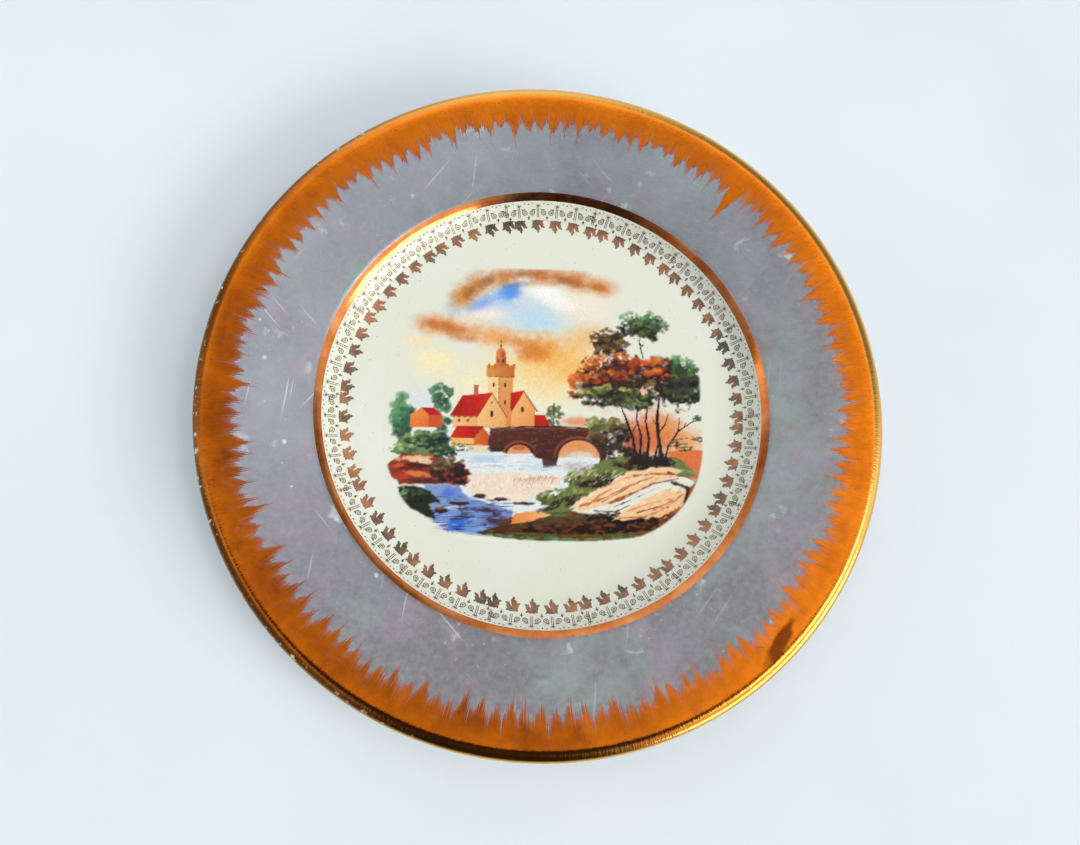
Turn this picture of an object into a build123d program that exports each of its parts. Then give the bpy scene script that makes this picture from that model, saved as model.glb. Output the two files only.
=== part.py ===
from build123d import *
import os
from math import asin, atan2, cos, degrees, hypot, pi, radians, sin
from random import Random

# A round earthenware souvenir plate, decorated on its upper face. Millimetres.
# +Z is up and is the axis of the plate. The origin is at the centre of the foot ring, on the table.

# Overall sizes of the finished plate, glaze included
plate_radius = 133.5
plate_height = 24.0
body_thickness = 4.2
glaze_thickness = 0.25

# Section of the upper face: flat floor, cove, straight wall, rounded shoulder, sloping rim, rolled lip
floor_height = 6.4
floor_radius = 78.0
cove_radius = 11.0
wall_angle = 50.0
wall_length = 2.0
shoulder_radius = 9.0
lip_radius = 6.0
lip_fall = 32.0
edge_radius = 1.3

# Foot ring under the floor. Its sole is left bare of glaze so that it doesn't stick to the kiln shelf
foot_inset = 1.0
foot_sole_width = 3.0
foot_draft = 1.6
foot_root_fillet = 1.2
foot_sole_fillet = 0.7
bare_foot_height = 1.0

# Gilding and lustre on the rim
verge_start = 0.2
verge_width = 2.8
gold_wrap = 2.6
gold_width = 12.2
tuft_spacing = 5.6
tuft_lean = (0.3, 0.7)
# Least and greatest reach of a tuft, as shares of the way from gold_width to the verge line
tuft_reach = (0.14, 0.31)
# Strokes that the brush pulled further in: (angle about +Z, width, reach added to its tuft's reach)
long_strokes = [(49.0, 8.0, 0.43), (-104.0, 6.0, 0.38), (134.5, 5.0, 0.38), (116.5, 6.5, 0.27)]
brush_seed = 7

# Gold print round the edge of the well. It was laid down in strips, end to end, on the cove and wall
print_thickness = 0.12
strip_length = 35.9
strip_joint = 0.25
print_start = -1.7
print_verge_gap = 0.15

# Landscape print on the floor: its middle, from the plate's axis, its width and height, and its round corners
landscape_centre = (0.6, 2.7)
landscape_size = (129.6, 115.2)
landscape_corner = 40.0

# Clearance round the shapes that cut others
zone_margin = 5.0


def shifted(point, length, angle):
    """The point that lies length away from another, in a direction given in degrees."""
    return (point[0] + length * cos(radians(angle)), point[1] + length * sin(radians(angle)))


def tangent_slope(start, end, step):
    """Slope in degrees of a line whose distance above end is step less than its distance above start."""
    across, up = end[0] - start[0], end[1] - start[1]
    return degrees(atan2(up, across) - asin(step / hypot(across, up)))


# ---- centres and slopes of the section ----
cove_centre = (floor_radius, floor_height + cove_radius)
wall_foot = shifted(cove_centre, cove_radius, wall_angle - 90)
wall_top = shifted(wall_foot, wall_length, wall_angle)
shoulder_centre = shifted(wall_top, shoulder_radius, wall_angle - 90)
edge_offset = lip_radius - edge_radius
lip_centre = (
    plate_radius - edge_radius - edge_offset * sin(radians(lip_fall)),
    plate_height - lip_radius,
)
edge_centre = shifted(lip_centre, edge_offset, 90 - lip_fall)
rim_slope = tangent_slope(shoulder_centre, lip_centre, shoulder_radius - lip_radius)
under_shoulder_radius = shoulder_radius - body_thickness
under_slope = tangent_slope(shoulder_centre, edge_centre, under_shoulder_radius + edge_radius)
floor_underside = floor_height - body_thickness
foot_radius = floor_radius - foot_inset

# ---- radii where one coat meets the next ----
verge_inner_radius = wall_top[0] + verge_start
verge_outer_radius = verge_inner_radius + verge_width
gold_radius = plate_radius - gold_width
gold_wrap_radius = plate_radius - gold_wrap
outer_limit = plate_radius + zone_margin


def ring_zone(inner, outer):
    """Section of everything from one radius to another."""
    with BuildSketch(Plane.XZ) as zone:
        with Locations((inner, -zone_margin)):
            Rectangle(outer - inner, plate_height + 2 * zone_margin, align=(Align.MIN, Align.MIN))
    return zone.sketch_local


# ---- glazed section: half of it is drawn, and the other half mirrors it so that it offsets evenly ----
with BuildSketch(Plane.XZ) as glazed_section:
    with BuildLine():
        floor_top = Line((0, floor_height), (floor_radius, floor_height))
        cove = CenterArc(cove_centre, cove_radius, -90, wall_angle)
        Line(wall_foot, wall_top)
        shoulder = CenterArc(shoulder_centre, shoulder_radius, 90 + wall_angle, rim_slope - wall_angle)
        lip = CenterArc(lip_centre, lip_radius, 90 + rim_slope, -rim_slope - lip_fall)
        Line(shoulder @ 1, lip @ 0)
        edge = CenterArc(edge_centre, edge_radius, 90 - lip_fall, under_slope + lip_fall - 180)
        under_shoulder = CenterArc(
            shoulder_centre, under_shoulder_radius, 90 + under_slope, wall_angle - under_slope
        )
        Line(edge @ 1, under_shoulder @ 0)
        under_cove = CenterArc(cove_centre, cove_radius + body_thickness, wall_angle - 90, -wall_angle)
        Line(under_shoulder @ 1, under_cove @ 0)
        floor_under = Line(under_cove @ 1, (0, floor_underside))
        Line(floor_under @ 1, floor_top @ 0)
    make_face()
    foot_top = floor_height - body_thickness / 2
    with BuildLine():
        FilletPolyline(
            (foot_radius - foot_sole_width / 2, 0),
            (foot_radius + foot_sole_width / 2, 0),
            (foot_radius + foot_sole_width / 2 + foot_draft, foot_top),
            (foot_radius - foot_sole_width / 2 - foot_draft, foot_top),
            radius=foot_sole_fillet,
            close=True,
        )
    make_face()
    mirror(about=Plane.YZ)
    # Out by the fillet and back in again rounds only the hollow corners at the root of the foot
    offset(amount=foot_root_fillet, kind=Kind.ARC)
    offset(amount=-foot_root_fillet, kind=Kind.ARC)

with BuildSketch(Plane.XZ) as core_section:
    add(glazed_section.sketch_local)
    offset(amount=-glaze_thickness, kind=Kind.INTERSECTION)
    add(ring_zone(0, outer_limit), mode=Mode.INTERSECT)

# ---- zones that share out the coats: above the middle of the wall, and between two radii ----
with BuildSketch(Plane.XZ) as upper_zone:
    with BuildLine():
        Polyline(
            (0, floor_height - body_thickness / 2),
            (floor_radius, floor_height - body_thickness / 2),
            shifted(wall_foot, body_thickness / 2, wall_angle - 90),
            shifted(shoulder_centre, shoulder_radius - body_thickness / 2, 90 + rim_slope),
            edge_centre,
            (outer_limit, edge_centre[1]),
            (outer_limit, plate_height + zone_margin),
            (0, plate_height + zone_margin),
            close=True,
        )
    make_face()

with BuildSketch(Plane.XZ) as body_section:
    add(glazed_section.sketch_local)
    with Locations((0, bare_foot_height)):
        Rectangle(
            2 * outer_limit, plate_height + zone_margin, align=(Align.CENTER, Align.MIN), mode=Mode.SUBTRACT
        )
    add(ring_zone(0, outer_limit), mode=Mode.INTERSECT)
    add(core_section.sketch_local)

with BuildSketch(Plane.XZ) as coat_section:
    add(glazed_section.sketch_local)
    add(ring_zone(0, outer_limit), mode=Mode.INTERSECT)
    add(body_section.sketch_local, mode=Mode.SUBTRACT)

with BuildSketch(Plane.XZ) as face_coat_section:
    add(coat_section.sketch_local)
    add(upper_zone.sketch_local, mode=Mode.INTERSECT)

with BuildSketch(Plane.XZ) as well_section:
    add(face_coat_section.sketch_local)
    add(ring_zone(0, verge_inner_radius), mode=Mode.INTERSECT)

with BuildSketch(Plane.XZ) as verge_section:
    add(face_coat_section.sketch_local)
    add(ring_zone(verge_inner_radius, verge_outer_radius), mode=Mode.INTERSECT)

# The rim's coat runs over the lip and a little way underneath
with BuildSketch(Plane.XZ) as lip_wrap_section:
    add(coat_section.sketch_local)
    add(ring_zone(gold_wrap_radius, outer_limit), mode=Mode.INTERSECT)

with BuildSketch(Plane.XZ) as rim_section:
    add(face_coat_section.sketch_local)
    add(ring_zone(verge_outer_radius, outer_limit), mode=Mode.INTERSECT)
    add(lip_wrap_section.sketch_local)

with BuildSketch(Plane.XZ) as back_section:
    add(coat_section.sketch_local)
    add(upper_zone.sketch_local, mode=Mode.SUBTRACT)
    add(ring_zone(gold_wrap_radius, outer_limit), mode=Mode.SUBTRACT)


def long_stroke_reach(angle):
    """Reach that the long strokes add to a tuft whose tip is at an angle about the axis."""
    added = 0
    for stroke_angle, width, reach in long_strokes:
        away = abs((angle - stroke_angle + 180) % 360 - 180)
        half_angle = degrees(width / 2 / gold_radius)
        added = max(added, reach * (1 - away / half_angle))
    return added


def brushed_edge():
    """Inner edge of the gold: the ends of tapering tufts of uneven length, and the notches between them."""
    draw = Random(brush_seed)
    tufts = round(2 * pi * gold_radius / tuft_spacing)
    points = []
    for tuft in range(tufts):
        notch_angle = 360 * tuft / tufts
        tip_angle = 360 * (tuft + draw.uniform(*tuft_lean)) / tufts
        reach = draw.uniform(*tuft_reach) + long_stroke_reach(tip_angle)
        tip_radius = gold_radius - reach * (gold_radius - verge_outer_radius)
        points.append(shifted((0, 0), gold_radius, notch_angle))
        points.append(shifted((0, 0), tip_radius, tip_angle))
    return points


with BuildSketch(Plane.XY) as inside_gold:
    with BuildLine():
        Polyline(*brushed_edge(), close=True)
    make_face()

# ---- the pieces ----
with BuildPart() as plate_body:
    with BuildSketch(Plane.XZ):
        add(body_section.sketch_local)
    revolve(axis=Axis.Z)

with BuildPart() as well_glaze:
    with BuildSketch(Plane.XZ):
        add(well_section.sketch_local)
    revolve(axis=Axis.Z)

with BuildPart() as back_glaze:
    with BuildSketch(Plane.XZ):
        add(back_section.sketch_local)
    revolve(axis=Axis.Z)

with BuildPart() as gold_verge_line:
    with BuildSketch(Plane.XZ):
        add(verge_section.sketch_local)
    revolve(axis=Axis.Z)

with BuildPart() as pearl_lustre_band:
    with BuildSketch(Plane.XZ):
        add(rim_section.sketch_local)
    revolve(axis=Axis.Z)
    with BuildSketch(Plane.XY):
        add(inside_gold.sketch_local)
    extrude(amount=plate_height + zone_margin, mode=Mode.INTERSECT)

with BuildPart() as gold_rim_band:
    with BuildSketch(Plane.XZ):
        add(rim_section.sketch_local)
    revolve(axis=Axis.Z)
    with BuildSketch(Plane.XY):
        add(inside_gold.sketch_local)
    extrude(amount=plate_height + zone_margin, mode=Mode.SUBTRACT)

# ---- gold print: equal strips, with a narrow joint between each and the next ----
strips = round(2 * pi * floor_radius / strip_length)
strip_angle = 360 / strips - degrees(strip_joint / floor_radius)

with BuildSketch(Plane.XZ) as print_section:
    add(glazed_section.sketch_local)
    offset(amount=print_thickness, kind=Kind.INTERSECTION)
    add(glazed_section.sketch_local, mode=Mode.SUBTRACT)
    add(upper_zone.sketch_local, mode=Mode.INTERSECT)
    add(ring_zone(floor_radius + print_start, verge_inner_radius - print_verge_gap), mode=Mode.INTERSECT)

with BuildPart() as strip:
    with BuildSketch(Plane.XZ):
        add(print_section.sketch_local)
    revolve(axis=Axis.Z, revolution_arc=strip_angle)

with BuildPart() as border_print:
    add([strip.part.rotate(Axis.Z, 360 * place / strips) for place in range(strips)])

with BuildPart() as landscape_print:
    with BuildSketch(Plane.XY.offset(floor_height)):
        with Locations(landscape_centre):
            RectangleRounded(*landscape_size, landscape_corner)
    extrude(amount=print_thickness)

pieces = {
    "plate_body": plate_body,
    "well_glaze": well_glaze,
    "back_glaze": back_glaze,
    "gold_verge_line": gold_verge_line,
    "pearl_lustre_band": pearl_lustre_band,
    "gold_rim_band": gold_rim_band,
    "border_print": border_print,
    "landscape_print": landscape_print,
}
os.makedirs("parts", exist_ok=True)
for name, piece in pieces.items():
    piece.part.label = name
    export_step(piece.part, f"parts/{name}.step")
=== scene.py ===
import math
import random

import bmesh
import bpy
import numpy as np
from mathutils import Matrix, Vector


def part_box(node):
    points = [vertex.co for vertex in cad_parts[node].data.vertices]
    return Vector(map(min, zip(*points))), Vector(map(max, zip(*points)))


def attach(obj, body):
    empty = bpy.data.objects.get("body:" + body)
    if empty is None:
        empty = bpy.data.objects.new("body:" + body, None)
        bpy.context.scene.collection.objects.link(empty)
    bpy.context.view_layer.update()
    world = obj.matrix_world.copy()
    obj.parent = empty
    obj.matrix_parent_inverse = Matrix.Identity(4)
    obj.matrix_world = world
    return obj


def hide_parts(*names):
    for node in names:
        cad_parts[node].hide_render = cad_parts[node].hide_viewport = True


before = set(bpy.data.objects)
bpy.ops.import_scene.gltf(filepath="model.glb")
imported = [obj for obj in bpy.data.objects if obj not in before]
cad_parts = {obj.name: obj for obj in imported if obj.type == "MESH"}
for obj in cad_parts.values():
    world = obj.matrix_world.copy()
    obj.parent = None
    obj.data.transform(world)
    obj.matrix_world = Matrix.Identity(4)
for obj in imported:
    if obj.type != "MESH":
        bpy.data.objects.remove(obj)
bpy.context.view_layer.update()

MM = 0.001

# ---- the plate's section in millimetres, as the CAD part has it ----
PLATE_RADIUS = 133.5
PLATE_HEIGHT = 24.0
FLOOR_HEIGHT = 6.4
FLOOR_RADIUS = 78.0
COVE_RADIUS = 11.0
WALL_ANGLE = math.radians(50.0)
WALL_LENGTH = 2.0
SHOULDER_RADIUS = 9.0
LIP_RADIUS = 6.0
LIP_FALL = math.radians(32.0)
EDGE_RADIUS = 1.3
BODY_THICKNESS = 4.2
COAT = 0.25
GOLD_WRAP = 2.6
GOLD_WIDTH = 12.2
TUFT_SPACING = 5.6
TUFT_LEAN = (0.3, 0.7)
TUFT_REACH = (0.14, 0.31)
LONG_STROKES = [(49.0, 8.0, 0.43), (-104.0, 6.0, 0.38), (134.5, 5.0, 0.38), (116.5, 6.5, 0.27)]
BRUSH_SEED = 7


# ---- Section of the upper face, as a chain of lines and arcs outwards from the edge of the floor ----
def shifted(point, length, angle):
    return (point[0] + length * math.cos(angle), point[1] + length * math.sin(angle))


def tangent_slope(start, end, step):
    across, up = end[0] - start[0], end[1] - start[1]
    return math.atan2(up, across) - math.asin(step / math.hypot(across, up))


def make_section():
    """(kind, centre or start, radius or length, slope at its start, slope at its end) for each stretch."""
    quarter = math.pi / 2
    cove_centre = (FLOOR_RADIUS, FLOOR_HEIGHT + COVE_RADIUS)
    wall_foot = shifted(cove_centre, COVE_RADIUS, WALL_ANGLE - quarter)
    wall_top = shifted(wall_foot, WALL_LENGTH, WALL_ANGLE)
    shoulder = shifted(wall_top, SHOULDER_RADIUS, WALL_ANGLE - quarter)
    reach = LIP_RADIUS - EDGE_RADIUS
    lip = (PLATE_RADIUS - EDGE_RADIUS - reach * math.sin(LIP_FALL), PLATE_HEIGHT - LIP_RADIUS)
    edge = shifted(lip, reach, quarter - LIP_FALL)
    rim = tangent_slope(shoulder, lip, SHOULDER_RADIUS - LIP_RADIUS)
    under = tangent_slope(shoulder, edge, SHOULDER_RADIUS - BODY_THICKNESS + EDGE_RADIUS)
    rim_start = shifted(shoulder, SHOULDER_RADIUS, quarter + rim)
    rim_end = shifted(lip, LIP_RADIUS, quarter + rim)
    under_start = shifted(edge, EDGE_RADIUS, under - quarter)
    return [
        ("hollow", cove_centre, COVE_RADIUS, 0.0, WALL_ANGLE),
        ("line", wall_foot, WALL_LENGTH, WALL_ANGLE, WALL_ANGLE),
        ("round", shoulder, SHOULDER_RADIUS, WALL_ANGLE, rim),
        ("line", rim_start, math.dist(rim_start, rim_end), rim, rim),
        ("round", lip, LIP_RADIUS, rim, -LIP_FALL),
        ("round", edge, EDGE_RADIUS, -LIP_FALL, under - math.pi),
        ("line", under_start, GOLD_WRAP, under - math.pi, under - math.pi),
    ]


SECTION = make_section()


def stretch_length(stretch):
    kind, _, size, start, end = stretch
    return size if kind == "line" else size * abs(end - start)


ENDS = np.cumsum([0.0] + [stretch_length(s) for s in SECTION])
RIM_START, RIM_END, LIP_END, EDGE_END = ENDS[3:7]


def face_point(along):
    """(radius, height, slope) at a distance measured up the face from the edge of the floor."""
    if along <= 0:
        return FLOOR_RADIUS + along, FLOOR_HEIGHT, 0.0
    index = min(int(np.searchsorted(ENDS, along)) - 1, len(SECTION) - 1)
    kind, place, size, start, end = SECTION[index]
    step = along - ENDS[index]
    if kind == "line":
        return (*shifted(place, step, start), start)
    slope = start + math.copysign(step / size, end - start)
    side = -math.pi / 2 if kind == "hollow" else math.pi / 2
    return (*shifted(place, size, slope + side), slope)


def along_at_radius(radius):
    """Distance up the face to a radius between the floor and the lip."""
    low, high = 0.0, LIP_END
    for _ in range(30):
        middle = (low + high) / 2
        if face_point(middle)[0] < radius:
            low = middle
        else:
            high = middle
    return low


def on_face(angle, along, lift=0.0):
    """Place in metres at an angle about the axis, a distance up the face, lifted off it."""
    radius, height, slope = face_point(along)
    radius -= lift * math.sin(slope)
    height += lift * math.cos(slope)
    return (radius * math.cos(angle) * MM, radius * math.sin(angle) * MM, height * MM)


# ---- Node helpers ----
class Nodes:
    """Short calls that add nodes to a material or the world."""

    def __init__(self, tree):
        self.tree = tree

    def add(self, kind, inputs=None, **settings):
        node = self.tree.nodes.new(kind)
        for name, value in settings.items():
            setattr(node, name, value)
        for key, value in (inputs or {}).items():
            self.put(node.inputs[key], value)
        return node

    def put(self, socket, value):
        if isinstance(value, bpy.types.NodeSocket):
            self.tree.links.new(value, socket)
        elif isinstance(value, tuple) and len(value) == 3 and len(getattr(socket, "default_value", ())) == 4:
            socket.default_value = (*value, 1.0)
        else:
            socket.default_value = value

    def math(self, operation, a, b=0.0, clamp=False):
        return self.add("ShaderNodeMath", {0: a, 1: b}, operation=operation, use_clamp=clamp).outputs[0]

    def mix(self, share, a, b):
        node = self.add("ShaderNodeMix", data_type="RGBA")
        self.put(node.inputs[0], share)
        self.put(node.inputs[6], a)
        self.put(node.inputs[7], b)
        return node.outputs[2]

    def span(self, value, low, high, to_low=0.0, to_high=1.0):
        """value between low and high, spread over to_low to_high and held there."""
        node = self.add("ShaderNodeMapRange", {0: value, 1: low, 2: high, 3: to_low, 4: to_high}, clamp=True)
        return node.outputs[0]

    def noise(self, vector, scale, detail=3.0, roughness=0.55, distortion=0.0):
        inputs = {"Vector": vector, "Scale": scale, "Detail": detail}
        node = self.add("ShaderNodeTexNoise", inputs)
        node.inputs["Roughness"].default_value = roughness
        node.inputs["Distortion"].default_value = distortion
        return node.outputs[0]

    def place(self):
        return self.add("ShaderNodeTexCoord").outputs["Object"]

    def scaled(self, vector, factors, shift=(0.0, 0.0, 0.0)):
        node = self.add("ShaderNodeMapping", {"Vector": vector, "Scale": factors, "Location": shift})
        return node.outputs[0]

    def attribute(self, name, output="Fac"):
        return self.add("ShaderNodeAttribute", attribute_name=name).outputs[output]

    def bump(self, height, strength, distance):
        inputs = {"Strength": strength, "Distance": distance, "Height": height}
        return self.add("ShaderNodeBump", inputs).outputs[0]


def material(name):
    """A new material, its node helper and its one Principled shader."""
    made = bpy.data.materials.new(name)
    made.use_nodes = True
    shader = made.node_tree.nodes["Principled BSDF"]
    return made, Nodes(made.node_tree), shader


def new_piece(name, verts, faces):
    """A mesh of some points and faces, in the scene under one name."""
    mesh = bpy.data.meshes.new(name)
    mesh.from_pydata(verts, [], faces)
    piece = bpy.data.objects.new(name, mesh)
    bpy.context.scene.collection.objects.link(piece)
    return piece


# ---- Materials ----
IVORY = (0.83, 0.85, 0.73)
IVORY_WARM = (0.81, 0.82, 0.68)
GOLD_BRIGHT = (0.80, 0.200, 0.009)
GOLD_DEEP = (0.42, 0.095, 0.004)
LIP_HIGHLIGHT_GOLD = (0.90, 0.52, 0.12)
BARE_LIFT = (0.011, 0.009, 0.010)
PRINT_SHEEN = 0.16
GLAZE_IOR = 1.5


def ivory_colour(n, place):
    """Ivory glaze, slightly warmer in soft clouds, with a few tiny dark kiln specks."""
    clouds = n.span(n.noise(place, 22.0, 3.0), 0.35, 0.7)
    base = n.mix(clouds, IVORY, IVORY_WARM)
    specks = n.span(n.noise(place, 900.0, 0.0), 0.80, 0.84, 0.0, 0.35)
    return n.mix(specks, base, (0.35, 0.28, 0.20))


def glaze_wobble(n, place):
    """The slight unevenness of a fired glaze."""
    return n.bump(n.noise(place, 60.0, 2.0), 0.05, 0.002)


def glaze_material(name):
    made, n, shader = material(name)
    place = n.place()
    n.put(shader.inputs["Base Color"], ivory_colour(n, place))
    n.put(shader.inputs["Roughness"], n.span(n.noise(place, 300.0, 2.0), 0.3, 0.7, 0.05, 0.09))
    n.put(shader.inputs["Normal"], glaze_wobble(n, place))
    shader.inputs["IOR"].default_value = GLAZE_IOR
    return made


def picture_material(name):
    """The landscape: its colours were laid on the mesh as brush dabs, over the same ivory as the well."""
    made, n, shader = material(name)
    place = n.place()
    paint = n.attribute("paint", "Color")
    cover = n.attribute("cover")
    grain = n.span(n.noise(place, 1500.0, 2.0), 0.3, 0.7, 0.90, 1.06)
    grained = n.add("ShaderNodeVectorMath", {0: paint, "Scale": grain}, operation="SCALE").outputs[0]
    # the print is less glossy than the glaze, so its bare edge is made paler by what it doesn't reflect
    ivory = ivory_colour(n, place)
    bare = n.add("ShaderNodeVectorMath", {0: ivory, 1: BARE_LIFT}, operation="ADD").outputs[0]
    n.put(shader.inputs["Base Color"], n.mix(cover, bare, grained))
    n.put(shader.inputs["Roughness"], n.span(n.noise(place, 300.0, 2.0), 0.3, 0.7, 0.08, 0.14))
    n.put(shader.inputs["Normal"], glaze_wobble(n, place))
    shader.inputs["IOR"].default_value = GLAZE_IOR
    shader.inputs["Specular IOR Level"].default_value = PRINT_SHEEN
    return made


def biscuit_material(name):
    made, n, shader = material(name)
    place = n.place()
    tone = n.span(n.noise(place, 500.0, 4.0), 0.3, 0.7)
    n.put(shader.inputs["Base Color"], n.mix(tone, (0.62, 0.53, 0.40), (0.74, 0.67, 0.54)))
    n.put(shader.inputs["Roughness"], n.span(tone, 0.0, 1.0, 0.75, 0.92))
    n.put(shader.inputs["Normal"], n.bump(n.noise(place, 2500.0, 3.0), 0.25, 0.0004))
    return made


def lustre_material(name):
    """Mauve-grey pearl lustre: soft lavender, green and pink clouds, pale blotches, specks and scratches,
    with painted light and shade that make it lighter at the top and left and darker at the bottom and right.
    """
    made, n, shader = material(name)
    place = n.place()
    split = n.add("ShaderNodeSeparateXYZ", {0: place}).outputs
    # painted light: the lustre is painted a lighter mauve grey on the left, falling off to a darker brownish
    # grey on the right
    across = n.span(split[0], -0.12, 0.12)
    base = n.mix(across, (0.275, 0.27, 0.32), (0.20, 0.185, 0.178))
    # painted reflection: the upper side is painted a lighter bluish grey
    upper = n.span(split[1], 0.02, 0.12, 0.0, 0.75)
    base = n.mix(upper, base, (0.34, 0.39, 0.45))
    # painted shade: the lower side is painted darker, and its pale clouds are painted fainter there
    lower = n.span(split[1], -0.02, -0.11, 0.0, 0.8)
    base = n.mix(lower, base, (0.15, 0.14, 0.135))
    clouds = n.span(n.noise(place, 26.0, 5.0, 0.6, 0.4), 0.46, 0.70, 0.0, 0.45)
    clouds = n.math("MULTIPLY", clouds, n.span(lower, 0.0, 0.8, 1.0, 0.35))
    base = n.mix(clouds, base, (0.40, 0.42, 0.49))
    dark = n.span(n.noise(n.scaled(place, (1, 1, 1), (9, 2, 4)), 30.0, 4.0), 0.52, 0.72, 0.0, 0.45)
    base = n.mix(dark, base, (0.16, 0.15, 0.17))
    green = n.span(n.noise(place, 34.0, 4.0, 0.6, 0.6), 0.52, 0.70, 0.0, 0.65)
    base = n.mix(green, base, (0.27, 0.37, 0.31))
    pink = n.span(n.noise(n.scaled(place, (1, 1, 1), (3, 5, 0)), 42.0, 4.0, 0.6, 0.8), 0.52, 0.74, 0.0, 0.5)
    base = n.mix(pink, base, (0.43, 0.27, 0.33))
    grain = n.span(n.noise(place, 420.0, 3.0, 0.6), 0.3, 0.7, -0.10, 0.14)
    base = n.mix(n.span(grain, -0.1, 0.14, 0.0, 0.35), base, (0.42, 0.41, 0.44))
    blotch = n.noise(n.scaled(place, (1, 1, 1), (7, 1, 2)), 75.0, 5.0, 0.62, 0.5)
    base = n.mix(n.span(blotch, 0.62, 0.74, 0.0, 0.8), base, (0.75, 0.78, 0.76))
    left = n.span(split[0], -0.09, 0.05, 1.0, 0.25)
    for size, share in ((110.0, 0.80), (260.0, 0.86)):
        cells = n.add("ShaderNodeTexVoronoi", {"Vector": place, "Scale": size, "Randomness": 1.0})
        fray = n.math("MULTIPLY", n.noise(place, 900.0, 3.0), 0.16)
        ragged = n.math("ADD", cells.outputs["Distance"], fray)
        near = n.span(ragged, 0.10, 0.22, 1.0, 0.0)
        pick = n.add("ShaderNodeSeparateXYZ", {0: cells.outputs["Color"]}).outputs[0]
        chosen = n.math("MULTIPLY", n.span(pick, share, share + 0.1), left)
        base = n.mix(n.math("MULTIPLY", near, chosen), base, (0.86, 0.90, 0.93))
    for turn, shift in ((0.9, 0.31), (2.3, 0.52), (1.45, 0.77)):
        lines = n.add("ShaderNodeMapping", {"Vector": place}, vector_type="TEXTURE")
        lines.inputs["Location"].default_value = (shift, shift, 0)
        lines.inputs["Rotation"].default_value = (0, 0, turn)
        lines.inputs["Scale"].default_value = (0.034, 0.0015, 1.0)
        scratch = n.span(n.noise(lines.outputs[0], 1.0, 0.0), 0.80, 0.84, 0.0, 0.5)
        base = n.mix(n.math("MULTIPLY", scratch, left), base, (0.72, 0.75, 0.78))
    n.put(shader.inputs["Base Color"], base)
    n.put(shader.inputs["Roughness"], n.span(n.noise(place, 120.0, 4.0), 0.3, 0.7, 0.17, 0.32))
    n.put(shader.inputs["Normal"], n.bump(n.noise(place, 700.0, 3.0), 0.06, 0.0008))
    shader.inputs["Metallic"].default_value = 0.25
    shader.inputs["IOR"].default_value = GLAZE_IOR
    return made


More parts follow.
